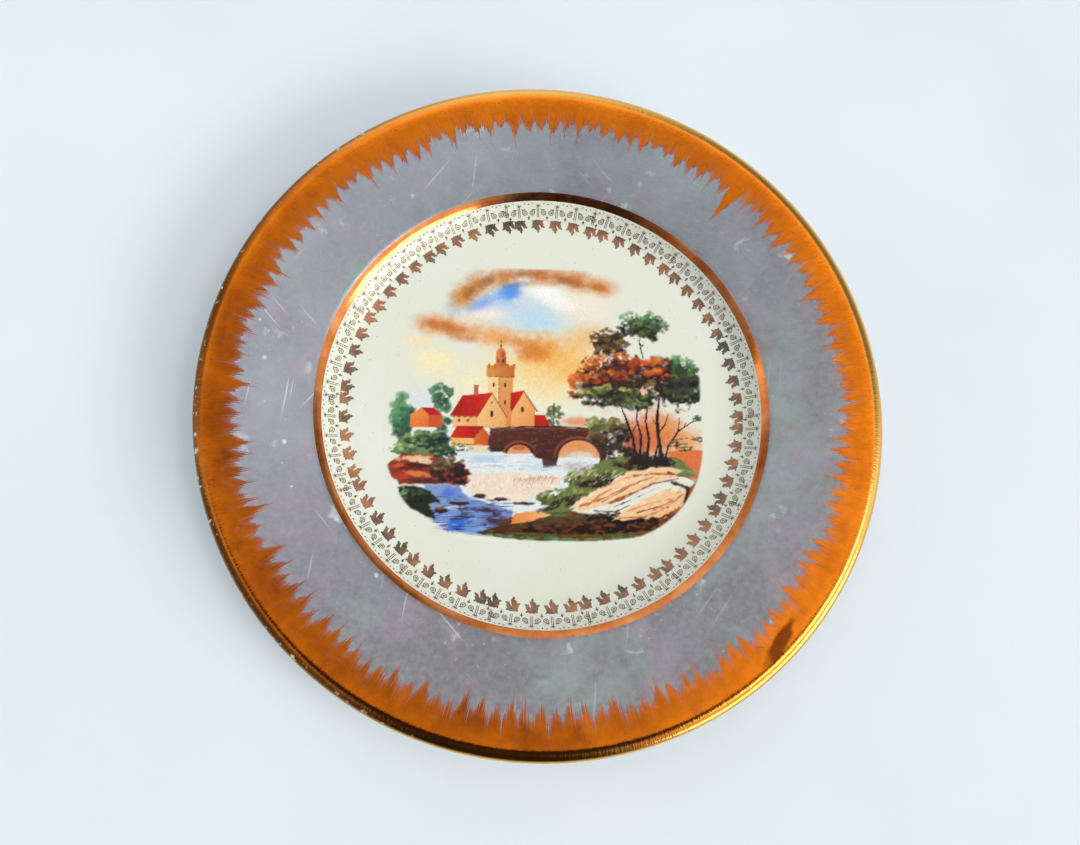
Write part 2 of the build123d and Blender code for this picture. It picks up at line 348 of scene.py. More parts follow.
def rim_gold_material(name):
    """Brushed gold: mottled, streaked where the bristles thinned, redder on the left, chipped on the lip,
    with a painted highlight of paler gold on the lip's right and upper side, a painted dark reflection on
    its left, and a dark patch inside the lip at the lower right.
    """
    made, n, shader = material(name)
    place = n.place()
    split = n.add("ShaderNodeSeparateXYZ", {0: place}).outputs
    brush = n.attribute("brush", "Vector")
    inward = n.attribute("inward")
    worn_side = n.span(n.math("ADD", split[0], n.math("MULTIPLY", split[1], 0.7)), -0.10, 0.03, 1.0, 0.0)
    mottle = n.span(n.noise(place, 65.0, 5.0, 0.6, 0.6), 0.36, 0.66)
    base = n.mix(mottle, (0.66, 0.155, 0.008), GOLD_BRIGHT)
    deep = n.mix(mottle, (0.27, 0.055, 0.004), GOLD_DEEP)
    base = n.mix(worn_side, base, deep)
    dark_cloud = n.span(n.noise(place, 110.0, 5.0, 0.65, 0.4), 0.56, 0.74, 0.0, 0.6)
    dark_cloud = n.math("MULTIPLY", dark_cloud, n.span(worn_side, 0.0, 1.0, 0.25, 1.0))
    base = n.mix(dark_cloud, base, (0.12, 0.024, 0.004))
    bristle = n.noise(brush, 1.9, 2.0, 0.6)
    streak_zone = n.span(inward, 0.5, 8.5, 1.0, 0.0)
    streak = n.math("MULTIPLY", n.span(bristle, 0.55, 0.64), streak_zone)
    base = n.mix(n.math("MULTIPLY", streak, 0.8), base, (0.20, 0.105, 0.085))
    base = n.mix(n.span(inward, 0.0, 3.0, 0.6, 0.0), base, (0.36, 0.16, 0.14))
    dash = n.noise(n.scaled(place, (60.0, 420.0, 1.0)), 1.0, 1.0)
    base = n.mix(n.span(dash, 0.74, 0.78, 0.0, 0.5), base, (0.16, 0.04, 0.01))
    lip = n.attribute("lip")
    # painted highlight: paler gold on the lip, strong on its right and upper side and along its outer roll,
    # faint on its left and at the front
    left = n.span(split[0], -0.10, -0.02, 1.0, 0.0)
    front = n.span(split[1], -0.10, -0.04, 0.35, 1.0)
    pale = n.math("MULTIPLY", n.span(lip, 0.35, 0.7, 0.0, 0.9), n.span(left, 0.0, 1.0, 1.0, 0.1))
    pale = n.math("MAXIMUM", n.math("MULTIPLY", pale, front), n.span(lip, 1.05, 1.25, 0.0, 0.8))
    base = n.mix(pale, base, LIP_HIGHLIGHT_GOLD)
    # painted dark reflection: the lip's left side is painted dark, and real pale chips of worn gold show in
    # it
    lip_wear_and_dark_reflection = n.math("MULTIPLY", n.span(lip, 0.8, 1.1), left)
    base = n.mix(n.math("MULTIPLY", lip_wear_and_dark_reflection, 0.8), base, (0.10, 0.06, 0.03))
    chip = n.math("MULTIPLY", n.span(n.noise(place, 380.0, 3.0, 0.6), 0.60, 0.64), lip_wear_and_dark_reflection)
    base = n.mix(chip, base, (0.72, 0.63, 0.46))
    # a dark patch on the rim gold inside the lip at the lower right
    dark_patch_place = n.add("ShaderNodeMapping", {"Vector": place}, vector_type="TEXTURE")
    dark_patch_place.inputs["Location"].default_value = (0.0859, -0.0927, 0.02)
    dark_patch_place.inputs["Rotation"].default_value = (0, 0, 0.97)
    dark_patch_place.inputs["Scale"].default_value = (0.0120, 0.0029, 0.02)
    away = n.add("ShaderNodeVectorMath", {0: dark_patch_place.outputs[0]}, operation="LENGTH").outputs["Value"]
    away = n.math("ADD", away, n.math("MULTIPLY", n.math("SUBTRACT", n.noise(place, 260.0, 3.0), 0.5), 0.8))
    base = n.mix(n.span(away, 0.65, 1.0, 0.85, 0.0), base, (0.12, 0.022, 0.005))
    n.put(shader.inputs["Base Color"], base)
    n.put(shader.inputs["Metallic"], n.math("SUBTRACT", 1.0, chip, clamp=True))
    smooth = n.span(lip, 0.0, 0.4)
    rough = n.span(n.noise(place, 240.0, 4.0), 0.3, 0.7, 0.26, 0.42)
    rough = n.add("ShaderNodeMix", {0: smooth, 2: rough, 3: 0.10}).outputs[0]
    n.put(shader.inputs["Roughness"], rough)
    height = n.math("ADD", n.noise(brush, 2.2, 2.0), n.noise(place, 500.0, 3.0))
    n.put(shader.inputs["Normal"], n.bump(height, 0.10, 0.0006))
    return made


def line_gold_material(name):
    """Smooth bright gold, with a few worn and darkened stretches."""
    made, n, shader = material(name)
    place = n.place()
    tone = n.span(n.noise(place, 90.0, 4.0, 0.6), 0.35, 0.7)
    base = n.mix(tone, (0.56, 0.15, 0.03), (0.82, 0.31, 0.11))
    rub = n.span(n.noise(n.scaled(place, (1, 1, 1), (2, 9, 4)), 260.0, 4.0), 0.66, 0.72, 0.0, 0.6)
    n.put(shader.inputs["Base Color"], n.mix(rub, base, (0.30, 0.10, 0.03)))
    n.put(shader.inputs["Roughness"], n.span(n.noise(place, 350.0, 3.0), 0.3, 0.7, 0.10, 0.20))
    n.put(shader.inputs["Normal"], n.bump(n.noise(place, 400.0, 2.0), 0.05, 0.0005))
    shader.inputs["Metallic"].default_value = 1.0
    return made


def print_gold_material(name, light, dark):
    """Thin printed gold: matte, brown where it is thick and greyer where it has worn thin."""
    made, n, shader = material(name)
    place = n.place()
    tone = n.span(n.noise(place, 55.0, 4.0, 0.6, 0.5), 0.38, 0.64)
    base = n.mix(tone, dark, light)
    worn = n.span(n.noise(place, 900.0, 3.0), 0.60, 0.72, 0.0, 0.5)
    n.put(shader.inputs["Base Color"], n.mix(worn, base, (0.50, 0.40, 0.28)))
    n.put(shader.inputs["Roughness"], n.span(n.noise(place, 500.0, 2.0), 0.3, 0.7, 0.28, 0.45))
    shader.inputs["Metallic"].default_value = 0.6
    return made


# ---- The brushed edge of the gold ----
GOLD_RADIUS = PLATE_RADIUS - GOLD_WIDTH
VERGE_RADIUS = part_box("gold_verge_line")[1].x / MM
BRISTLES = 8
RIGHT_SIDE = (-115, 62)


def long_stroke_reach(angle):
    added = 0.0
    for stroke_angle, width, reach in LONG_STROKES:
        away = abs((angle - stroke_angle + 180) % 360 - 180)
        half_angle = math.degrees(width / 2 / GOLD_RADIUS)
        added = max(added, reach * (1 - away / half_angle))
    return added


def gold_edge():
    """(angle, radius) of the gold's inner edge: the CAD part's tufts, each split into bristles and slits."""
    tuft_draw = random.Random(BRUSH_SEED)
    draw = random.Random(BRUSH_SEED + 1)
    tufts = round(2 * math.pi * GOLD_RADIUS / TUFT_SPACING)
    half = 180 / (tufts * BRISTLES)
    points = []
    for tuft in range(tufts):
        lean = tuft_draw.uniform(*TUFT_LEAN)
        tip_angle = 360 * (tuft + lean) / tufts
        reach = tuft_draw.uniform(*TUFT_REACH) + long_stroke_reach(tip_angle)
        depth = reach * (GOLD_RADIUS - VERGE_RADIUS)
        for bristle in range(BRISTLES):
            share = (bristle + 0.5) / BRISTLES
            rise = share / lean if share < lean else (1 - share) / (1 - lean)
            angle = 360 * (tuft + share) / tufts
            right_side = RIGHT_SIDE[0] < (angle + 180) % 360 - 180 < RIGHT_SIDE[1]
            split = draw.random() < (0.36 if right_side else 0.16)
            slit = draw.uniform(1.5, 6.0) if split else draw.uniform(-0.2, 0.8)
            spike = draw.uniform(0.1, 1.0) ** 2 * 4.2 * (0.5 + rise)
            root = GOLD_RADIUS - (depth - 1.2) * (0.30 + 0.70 * rise ** 1.3) + draw.uniform(-0.7, 0.7)
            points.append((angle - half * 0.95, root + slit))
            points.append((angle - half * (0.72 if slit > 1 else 0.2), root))
            points.append((angle + half * (draw.uniform(-0.1, 0.4) if right_side else 0.8), root - spike))
    return points


def edge_columns():
    """Angles in radians, each with the distance up the face to the gold's edge."""
    return [(math.radians(angle), along_at_radius(radius)) for angle, radius in gold_edge()]


def coat_mesh(name, columns, spans):
    """A closed coat round the plate. spans(edge) gives the distances up the face of its upper side's points.

    Its lower side, which is never seen, takes every third of them. rows holds them all, column by column."""
    verts, faces, rows = [], [], []
    for angle, edge in columns:
        alongs = spans(edge)
        under = alongs[-1:0:-3] + alongs[:1]
        rows.append(alongs + under)
        verts += [on_face(angle, along) for along in alongs]
        verts += [on_face(angle, along, -COAT) for along in under]
    loop = len(rows[0])
    count = len(columns)
    for i in range(count):
        here, after = i * loop, (i + 1) % count * loop
        for k in range(loop):
            step = (k + 1) % loop
            faces.append((here + k, here + step, after + step, after + k))
    piece = new_piece(name, verts, faces)
    piece.data.validate()
    smooth_but_for_corners(piece.data)
    return piece, rows


def smooth_but_for_corners(mesh, degrees=40):
    tidy = bmesh.new()
    tidy.from_mesh(mesh)
    bmesh.ops.recalc_face_normals(tidy, faces=tidy.faces)
    tidy.to_mesh(mesh)
    tidy.free()
    mesh.shade_smooth()
    mesh.set_sharp_from_angle(angle=math.radians(degrees))


def store(mesh, name, kind, values):
    width = {"FLOAT": "value", "FLOAT_VECTOR": "vector", "FLOAT_COLOR": "color"}[kind]
    attribute = mesh.attributes.new(name, kind, "POINT")
    attribute.data.foreach_set(width, np.asarray(values, np.float32).ravel())


def make_gold_rim(columns):
    """The brushed band, run over the lip and back to the glaze under the plate."""
    lip_steps = list(np.linspace(RIM_END, LIP_END, 7))[1:] + list(np.linspace(LIP_END, EDGE_END, 7))[1:]
    under_start, _, under_slope = face_point(EDGE_END)
    wrap = (under_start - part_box("back_glaze")[1].x / MM) / abs(math.cos(under_slope))

    def spans(edge):
        return list(np.linspace(edge, RIM_END, 5)) + lip_steps + [EDGE_END + wrap]

    piece, rows = coat_mesh("gold_rim", columns, spans)
    inward, brush, lip = [], [], []
    for (angle, edge), alongs in zip(columns, rows):
        for along in alongs:
            inward.append(along - edge)
            lip.append(min(max((along - RIM_END + 1.0) / (LIP_END - RIM_END), 0.0), 1.6))
            brush.append((GOLD_RADIUS * math.cos(angle), GOLD_RADIUS * math.sin(angle), along * 0.10))
    store(piece.data, "inward", "FLOAT", inward)
    store(piece.data, "lip", "FLOAT", lip)
    store(piece.data, "brush", "FLOAT_VECTOR", brush)
    return piece


def make_lustre(columns, start):
    def spans(edge):
        return list(np.linspace(start, RIM_START, 6)) + list(np.linspace(RIM_START, edge, 8))[1:]

    return coat_mesh("pearl_lustre", columns, spans)[0]


# ---- Gold print: motifs drawn flat as (across, along) outlines, then laid on the cove ----
STRIPS = 14
LEAVES_PER_STRIP = 5
LEAF_PITCH = math.radians(5.42)
LEAF_HUB = 2.2
BUD_MIDDLE = 4.75
SCROLL_MIDDLE = 6.95
SCROLL_OFFSET = 1.42
SCROLL_EYE = 0.14
SCROLL_GROWTH = 1.18
SCROLL_TURNS = 1.9
SCROLL_STEPS = 34
STEM_SPAN = (4.9, 9.4)
PALMETTE_BASE = 9.6
DOT_MIDDLE = 10.6
DOT_RADIUS = 0.34
CRESCENT_RADIUS = 0.95
CRESCENT_WIDTH = 0.26
LINE_WIDTH = 0.30
PRINT_TOP = 0.07
PRINT_SEED = 21
LEAF_LOBES = [(0, 4.1, 0.98), (60, 3.5, 0.92), (122, 2.9, 0.8), (238, 2.9, 0.8), (300, 3.5, 0.92)]
PALMETTE_RAYS = [(-74, 1.35), (-40, 1.55), (0, 1.7), (40, 1.55), (74, 1.35)]


def turned(along, across, angle, base):
    """A point at a distance along a direction, measured clockwise from inwards, and across it."""
    a = math.radians(angle)
    return (along * math.sin(a) + across * math.cos(a), base - along * math.cos(a) + across * math.sin(a))


def leaf_outlines():
    points = []
    for angle, length, half in LEAF_LOBES:
        for along, across in (
            (0.36, -0.13), (0.38 * length, -0.30 * half), (0.66 * length, -half),
            (0.67 * length, -0.42 * half), (0.80 * length, -0.56 * half), (length, 0.0),
            (0.80 * length, 0.56 * half), (0.67 * length, 0.42 * half), (0.66 * length, half),
            (0.38 * length, 0.30 * half), (0.36, 0.13),
        ):
            points.append(turned(along, across, angle, LEAF_HUB))
    return [points]


def bud_outlines():
    points = [
        (0, -1.15), (0.26, -0.2), (0.62, 0.22), (0.28, 0.42),
        (0, 0.95), (-0.28, 0.42), (-0.62, 0.22), (-0.26, -0.2),
    ]
    return [[(across, BUD_MIDDLE + along) for across, along in points]]


def ribbon(points, width):
    """Outline of a line of even width along some points."""
    left, right = [], []
    for i, point in enumerate(points):
        before, after = points[max(i - 1, 0)], points[min(i + 1, len(points) - 1)]
        length = math.dist(before, after)
        nx, ny = -(after[1] - before[1]) / length, (after[0] - before[0]) / length
        left.append((point[0] + nx * width / 2, point[1] + ny * width / 2))
        right.append((point[0] - nx * width / 2, point[1] - ny * width / 2))
    return left + right[::-1]


def scroll_outlines():
    outlines = []
    for side in (-1, 1):
        line = []
        for step in range(SCROLL_STEPS + 1):
            share = step / SCROLL_STEPS
            radius = SCROLL_EYE + SCROLL_GROWTH * share
            angle = math.radians(100) - 2 * math.pi * SCROLL_TURNS * (1 - share)
            across = side * (SCROLL_OFFSET + radius * math.cos(angle))
            line.append((across, SCROLL_MIDDLE + radius * math.sin(angle)))
        line.append((side * (SCROLL_OFFSET + 1.5), SCROLL_MIDDLE + 1.35))
        outlines.append(ribbon(line, LINE_WIDTH))
    return outlines


def palmette_outlines():
    fan = []
    for angle, length in PALMETTE_RAYS:
        for reach, aside in ((0.5, -15), (length, 0), (0.5, 15)):
            a = math.radians(angle + aside)
            fan.append((reach * math.sin(a), PALMETTE_BASE + reach * math.cos(a)))
    fan.append((0, PALMETTE_BASE - 0.25))
    stems = [ribbon([(x, STEM_SPAN[0]), (x, STEM_SPAN[1])], LINE_WIDTH * 0.85) for x in (-0.33, 0.33)]
    return [fan, *stems]


def dot_outlines():
    tenths = [k * math.pi / 5 for k in range(10)]
    round_dot = [(DOT_RADIUS * math.cos(a), DOT_MIDDLE + DOT_RADIUS * math.sin(a)) for a in tenths]
    crescents = []
    for side in (-1, 1):
        arc = [math.radians(90 + side * step) for step in (5, 25, 45, 65)]
        line = [
            (side * -1.15 + CRESCENT_RADIUS * math.cos(a), DOT_MIDDLE - 0.35 + CRESCENT_RADIUS * math.sin(a))
            for a in arc
        ]
        crescents.append(ribbon(line, CRESCENT_WIDTH))
    return [round_dot, *crescents]


def flat_motif(outlines, slice_step=0.6):
    """Triangles of some outlines, sliced across so that they can follow the cove's curve."""
    flat = bmesh.new()
    for outline in outlines:
        flat.faces.new([flat.verts.new((x, y, 0)) for x, y in outline])
    bmesh.ops.triangulate(flat, faces=flat.faces[:])
    low = min(v.co.y for v in flat.verts)
    high = max(v.co.y for v in flat.verts)
    for cut in np.arange(low + slice_step, high, slice_step):
        everything = flat.verts[:] + flat.edges[:] + flat.faces[:]
        bmesh.ops.bisect_plane(flat, geom=everything, plane_co=(0, cut, 0), plane_no=(0, 1, 0))
    bmesh.ops.triangulate(flat, faces=flat.faces[:])
    for face in flat.faces:
        if face.normal.z < 0:
            face.normal_flip()
    flat.verts.index_update()
    points = [(v.co.x, v.co.y) for v in flat.verts]
    triangles = [tuple(v.index for v in f.verts) for f in flat.faces]
    border = [tuple(v.index for v in e.verts) for e in flat.edges if len(e.link_faces) == 1]
    flat.free()
    return points, triangles, border


def print_places():
    """Places of the leaves and of the gaps between them, each strip laid a little unevenly."""
    draw = random.Random(PRINT_SEED)
    leaves, gaps = [], []
    for strip in range(STRIPS):
        middle = 2 * math.pi * (strip + 0.36) / STRIPS + math.radians(draw.uniform(-0.5, 0.5))
        drift = draw.uniform(-0.25, 0.25)
        for leaf in range(LEAVES_PER_STRIP):
            place = middle + LEAF_PITCH * (leaf - (LEAVES_PER_STRIP - 1) / 2)
            leaves.append((place, drift + draw.uniform(-0.08, 0.08)))
            gaps.append((place + LEAF_PITCH / 2, drift))
    return leaves, gaps


def lay_print(name, outlines, places, made):
    points, triangles, border = flat_motif(outlines)
    verts, faces = [], []
    for angle, drift in places:
        first = len(verts)
        for lift in (PRINT_TOP, -PRINT_TOP / 2):
            for across, along in points:
                radius = face_point(along + drift)[0]
                verts.append(on_face(angle + across / radius, along + drift, lift))
        under = first + len(points)
        faces += [tuple(first + i for i in t) for t in triangles]
        faces += [tuple(under + i for i in reversed(t)) for t in triangles]
        faces += [(first + a, first + b, under + b, under + a) for a, b in border]
    piece = new_piece(name, verts, faces)
    smooth_but_for_corners(piece.data, 30)
    piece.data.materials.append(made)
    return piece


# ---- Landscape: painted on a fine sheet by brush dabs whose shapes are given in millimetres ----
PICTURE_CENTRE = (0.6, 2.7)
PICTURE_HALF = (64.6, 57.4)
PICTURE_CORNER = 40.0
PICTURE_STEP = 0.385
PICTURE_LIFT = 0.03
PICTURE_SEED = 11
# how far below its typed place a dab lands, at four heights
PICTURE_DROP = ((-56, -38, 4, 56), (1.6, 3.4, 3.4, 0))
TONE_POWER = 1.16
TONE_GAIN = 1.04


def value_noise(x, y, size, seed):
    """Smooth noise from 0 to 1 with features of a size in millimetres."""
    cells = 256
    table = np.random.RandomState(seed).rand(cells, cells)
    u, v = x / size, y / size
    i, j = np.floor(u).astype(int), np.floor(v).astype(int)
    fu, fv = u - i, v - j
    fu, fv = fu * fu * (3 - 2 * fu), fv * fv * (3 - 2 * fv)
    i0, i1, j0, j1 = i % cells, (i + 1) % cells, j % cells, (j + 1) % cells
    low = table[i0, j0] * (1 - fu) + table[i1, j0] * fu
    high = table[i0, j1] * (1 - fu) + table[i1, j1] * fu
    return low * (1 - fv) + high * fv


def smooth(value):
    value = np.clip(value, 0, 1)
    return value * value * (3 - 2 * value)


class Picture:
    """Colours and cover on scattered points, built up by soft and hard shapes."""

    def __init__(self, x, y):
        self.x, self.y = x, y
        self.colour = np.zeros((len(x), 3))
        self.cover = np.zeros(len(x))
        self.fine = value_noise(x, y, 0.9, PICTURE_SEED) - 0.5
        self.medium = value_noise(x, y, 2.4, PICTURE_SEED + 1) - 0.5
        self.draw = random.Random(PICTURE_SEED)

    def lay(self, where, share, colour):
        colour = np.asarray(colour, float) / 255
        if colour.ndim == 1:
            colour = np.broadcast_to(colour, (len(share), 3))
        old_cover = self.cover[where]
        total = share + old_cover * (1 - share)
        safe = np.maximum(total, 1e-6)
        kept = (old_cover * (1 - share) / safe)[:, None]
        self.colour[where] = self.colour[where] * kept + colour * (share / safe)[:, None]
        self.cover[where] = total

    def dab(self, cx, cy, rx, ry, colour, strength=1.0, soft=0.5, ragged=0.0, tilt=0.0):
        reach = max(rx, ry) * (1.0 + ragged) + 0.5
        where = np.nonzero((np.abs(self.x - cx) < reach) & (np.abs(self.y - cy) < reach))[0]
        dx, dy = self.x[where] - cx, self.y[where] - cy
        a = math.radians(tilt)
        u = (dx * math.cos(a) + dy * math.sin(a)) / rx
        v = (-dx * math.sin(a) + dy * math.cos(a)) / ry
        distance = np.hypot(u, v) + ragged * (1.2 * self.medium[where] + 0.9 * self.fine[where])
        share = strength * smooth((1 - distance) / soft)
        self.lay(where, share, colour)

    def shape(self, points, colour, strength=1.0, soft=0.35, ragged=0.0, shade=None):
        """A polygon. shade gives (second colour, angle): the colour turns into it across the shape."""
        p = np.array(points, float)
        margin = soft + 2 * ragged
        where = np.nonzero(
            (self.x > p[:, 0].min() - margin) & (self.x < p[:, 0].max() + margin)
            & (self.y > p[:, 1].min() - margin) & (self.y < p[:, 1].max() + margin)
        )[0]
        x = self.x[where] + ragged * 1.6 * self.fine[where]
        y = self.y[where] + ragged * 1.6 * self.medium[where]
        inside = np.zeros(len(where), bool)
        nearest = np.full(len(where), 1e9)
        for (x0, y0), (x1, y1) in zip(p, np.roll(p, -1, axis=0)):
            ex, ey = x1 - x0, y1 - y0
            t = np.clip(((x - x0) * ex + (y - y0) * ey) / max(ex * ex + ey * ey, 1e-9), 0, 1)
            nearest = np.minimum(nearest, np.hypot(x - x0 - t * ex, y - y0 - t * ey))
            crosses = (y0 > y) != (y1 > y)
            inside ^= crosses & (x < x0 + (y - y0) * ex / (ey if ey else 1e-9))
        signed = np.where(inside, nearest, -nearest)
        share = strength * smooth(signed / soft + 0.5)
        tone = np.broadcast_to(np.asarray(colour, float), (len(where), 3))
        if shade is not None:
            a = math.radians(shade[1])
            run = self.x[where] * math.cos(a) + self.y[where] * math.sin(a)
            run = (run - run.min()) / max(np.ptp(run), 1e-6)
            tone = tone * (1 - run[:, None]) + np.asarray(shade[0], float) * run[:, None]
        self.lay(where, share, tone)

    def stroke(self, points, width, colour, strength=1.0, soft=0.35, taper=1.0, ragged=0.0):
        """A brush line through some points, its width shrinking to taper times at its end."""
        count = len(points) - 1
        for i, ((x0, y0), (x1, y1)) in enumerate(zip(points, points[1:])):
            steps = max(int(math.dist((x0, y0), (x1, y1)) / 0.45), 1)
            for k in range(steps + 1):
                t = k / steps
                size = width / 2 * (1 - (1 - taper) * (i + t) / count)
                self.dab(x0 + (x1 - x0) * t, y0 + (y1 - y0) * t, size, size, colour, strength, soft, ragged)

    def scatter(self, cx, cy, rx, ry, count, size, colours, flat=0.6, strength=0.8, tilt=0.0):
        """Many small dabs within an oval. colours run from its lower right, in shade, to its upper left."""
        for _ in range(count):
            a, reach = self.draw.uniform(0, 2 * math.pi), math.sqrt(self.draw.random())
            u, v = reach * math.cos(a), reach * math.sin(a)
            lit = min(max(0.5 + 0.42 * v - 0.22 * u + self.draw.uniform(-0.28, 0.28), 0), 0.999)
            colour = colours[int(lit * len(colours))]
            wide = size * self.draw.uniform(0.55, 1.3)
            self.dab(
                cx + u * rx, cy + v * ry, wide, wide * flat, colour, strength, 0.6, 0.45,
                tilt + self.draw.uniform(-25, 25),
            )


def paint_sky(p):
    for cx, cy, rx, ry, tone, strength, tilt in (
        (-10, 12, 50, 19, (253, 239, 196), 0.8, 0), (4, 21, 37, 19, (252, 214, 140), 0.85, 0),
        (-4, 40, 26, 13, (204, 226, 238), 0.9, 0), (-28, 43, 13, 9, (188, 204, 236), 0.7, 0),
        (-37, 44, 6, 12, (196, 206, 216), 0.7, -20), (-16, 45, 13, 7, (210, 220, 242), 0.9, 0),
        (16, 44, 18, 11, (251, 238, 216), 0.9, 0), (-45, 21, 14, 9, (253, 240, 192), 0.9, 0),
        (-48, 6, 16, 7, (224, 233, 240), 0.7, 0),
        # warm haze behind the tower
        (-1, 26.5, 16, 9, (242, 170, 74), 0.9, 0), (-20, 31, 18, 6.5, (242, 176, 88), 0.9, -8),
        (18, 31, 16, 8, (246, 190, 108), 0.7, 12), (14, 19, 17, 8, (248, 194, 108), 0.7, 0),
        (-5, 25, 10, 5, (220, 132, 50), 0.75, 0), (-9, 29, 16, 3, (224, 142, 62), 0.6, -6),
        # cloud on the left
        (-46, 35.6, 12, 6.4, (234, 164, 92), 0.95, -4), (-36, 33.6, 14, 6.0, (232, 158, 84), 0.9, -8),
        (-40, 34.4, 10, 3.4, (206, 130, 60), 0.9, -12), (-46, 35.8, 7, 2.6, (202, 124, 56), 0.7, 0),
        (-33, 30.4, 9, 2.4, (212, 132, 60), 0.6, -4), (-24, 40.0, 12, 3.6, (253, 240, 226), 0.95, 6),
        (-31, 37.6, 9, 2.2, (250, 226, 190), 0.8, -4), (-52, 28.5, 9, 4, (253, 234, 190), 0.8, 0),
        # arch of cloud at the top, and the open sky within it
        (-34, 46.5, 7, 8, (222, 156, 86), 0.95, 60), (-29, 51.5, 10, 7.5, (218, 150, 76), 0.95, 40),
        (-17, 55.6, 13, 7.2, (216, 146, 70), 0.95, 14), (-1, 56.8, 14, 6.8, (214, 142, 66), 0.95, 0),
        (13, 55.2, 13, 6.6, (220, 150, 76), 0.95, -12), (24, 52.6, 11, 5.4, (228, 164, 94), 0.95, -10),
        (-31, 48.5, 6, 4.0, (178, 112, 50), 0.8, 50), (-24, 53.8, 7, 3.4, (174, 108, 46), 0.8, 30),
        (-8, 57.2, 12, 3.0, (184, 116, 50), 0.75, 3), (9, 54.6, 11, 3.2, (178, 108, 46), 0.75, -10),
        (22, 52.4, 8, 2.4, (196, 116, 48), 0.7, -10),
        (-16, 48.6, 10, 5.6, (150, 190, 242), 0.9, 12), (-14.5, 49.4, 6.5, 4.2, (98, 162, 238), 0.9, 12),
        (-12, 52.4, 8, 2.2, (112, 124, 196), 0.7, 8), (-26, 44.6, 9, 3.4, (146, 178, 240), 0.8, 22),
        (1, 49.2, 12, 4.8, (255, 254, 250), 1.0, -8), (6, 45.6, 12, 4.8, (255, 251, 244), 0.9, -14),
        (-2, 38, 14, 4.4, (202, 226, 244), 0.85, -6),
    ):
        p.dab(cx, cy, rx, ry, tone, strength, 0.9, 0.17, tilt)


def paint_far_bank(p):
    green = [(40, 74, 66), (60, 104, 84), (84, 136, 98), (124, 168, 120)]
    p.scatter(-57, -1.5, 4.3, 9, 70, 1.9, green, 0.8)
    p.shape([(-60.5, -9), (-60, 0), (-57.2, 7.6), (-54.2, 1), (-53.2, -9)], (72, 124, 92), 0.7, 1.0, 0.8)
    for scatter in (
        (-56.6, -3, 3.2, 7, 40, 1.2, green, 0.8, 0.7), (-41, 0, 3.4, 8.5, 46, 1.7, green, 0.8, 0.75),
        (-41.5, 8, 4.3, 4.2, 60, 1.5, [(58, 92, 70), (80, 128, 92), (110, 156, 116)], 0.8),
        (-48, -2.5, 5, 3, 20, 1.6, [(190, 96, 50), (220, 130, 70)], 0.7),
        (4, -0.5, 3.2, 5, 46, 1.3, [(62, 74, 52), (96, 108, 66), (128, 138, 86)], 0.8),
    ):
        p.scatter(*scatter)
    p.stroke([(4, 5), (3.7, -4)], 0.7, (70, 66, 46), 0.7)
    p.dab(14, -2.5, 13, 3.6, (230, 150, 84), 0.85, 0.9, 0.15)


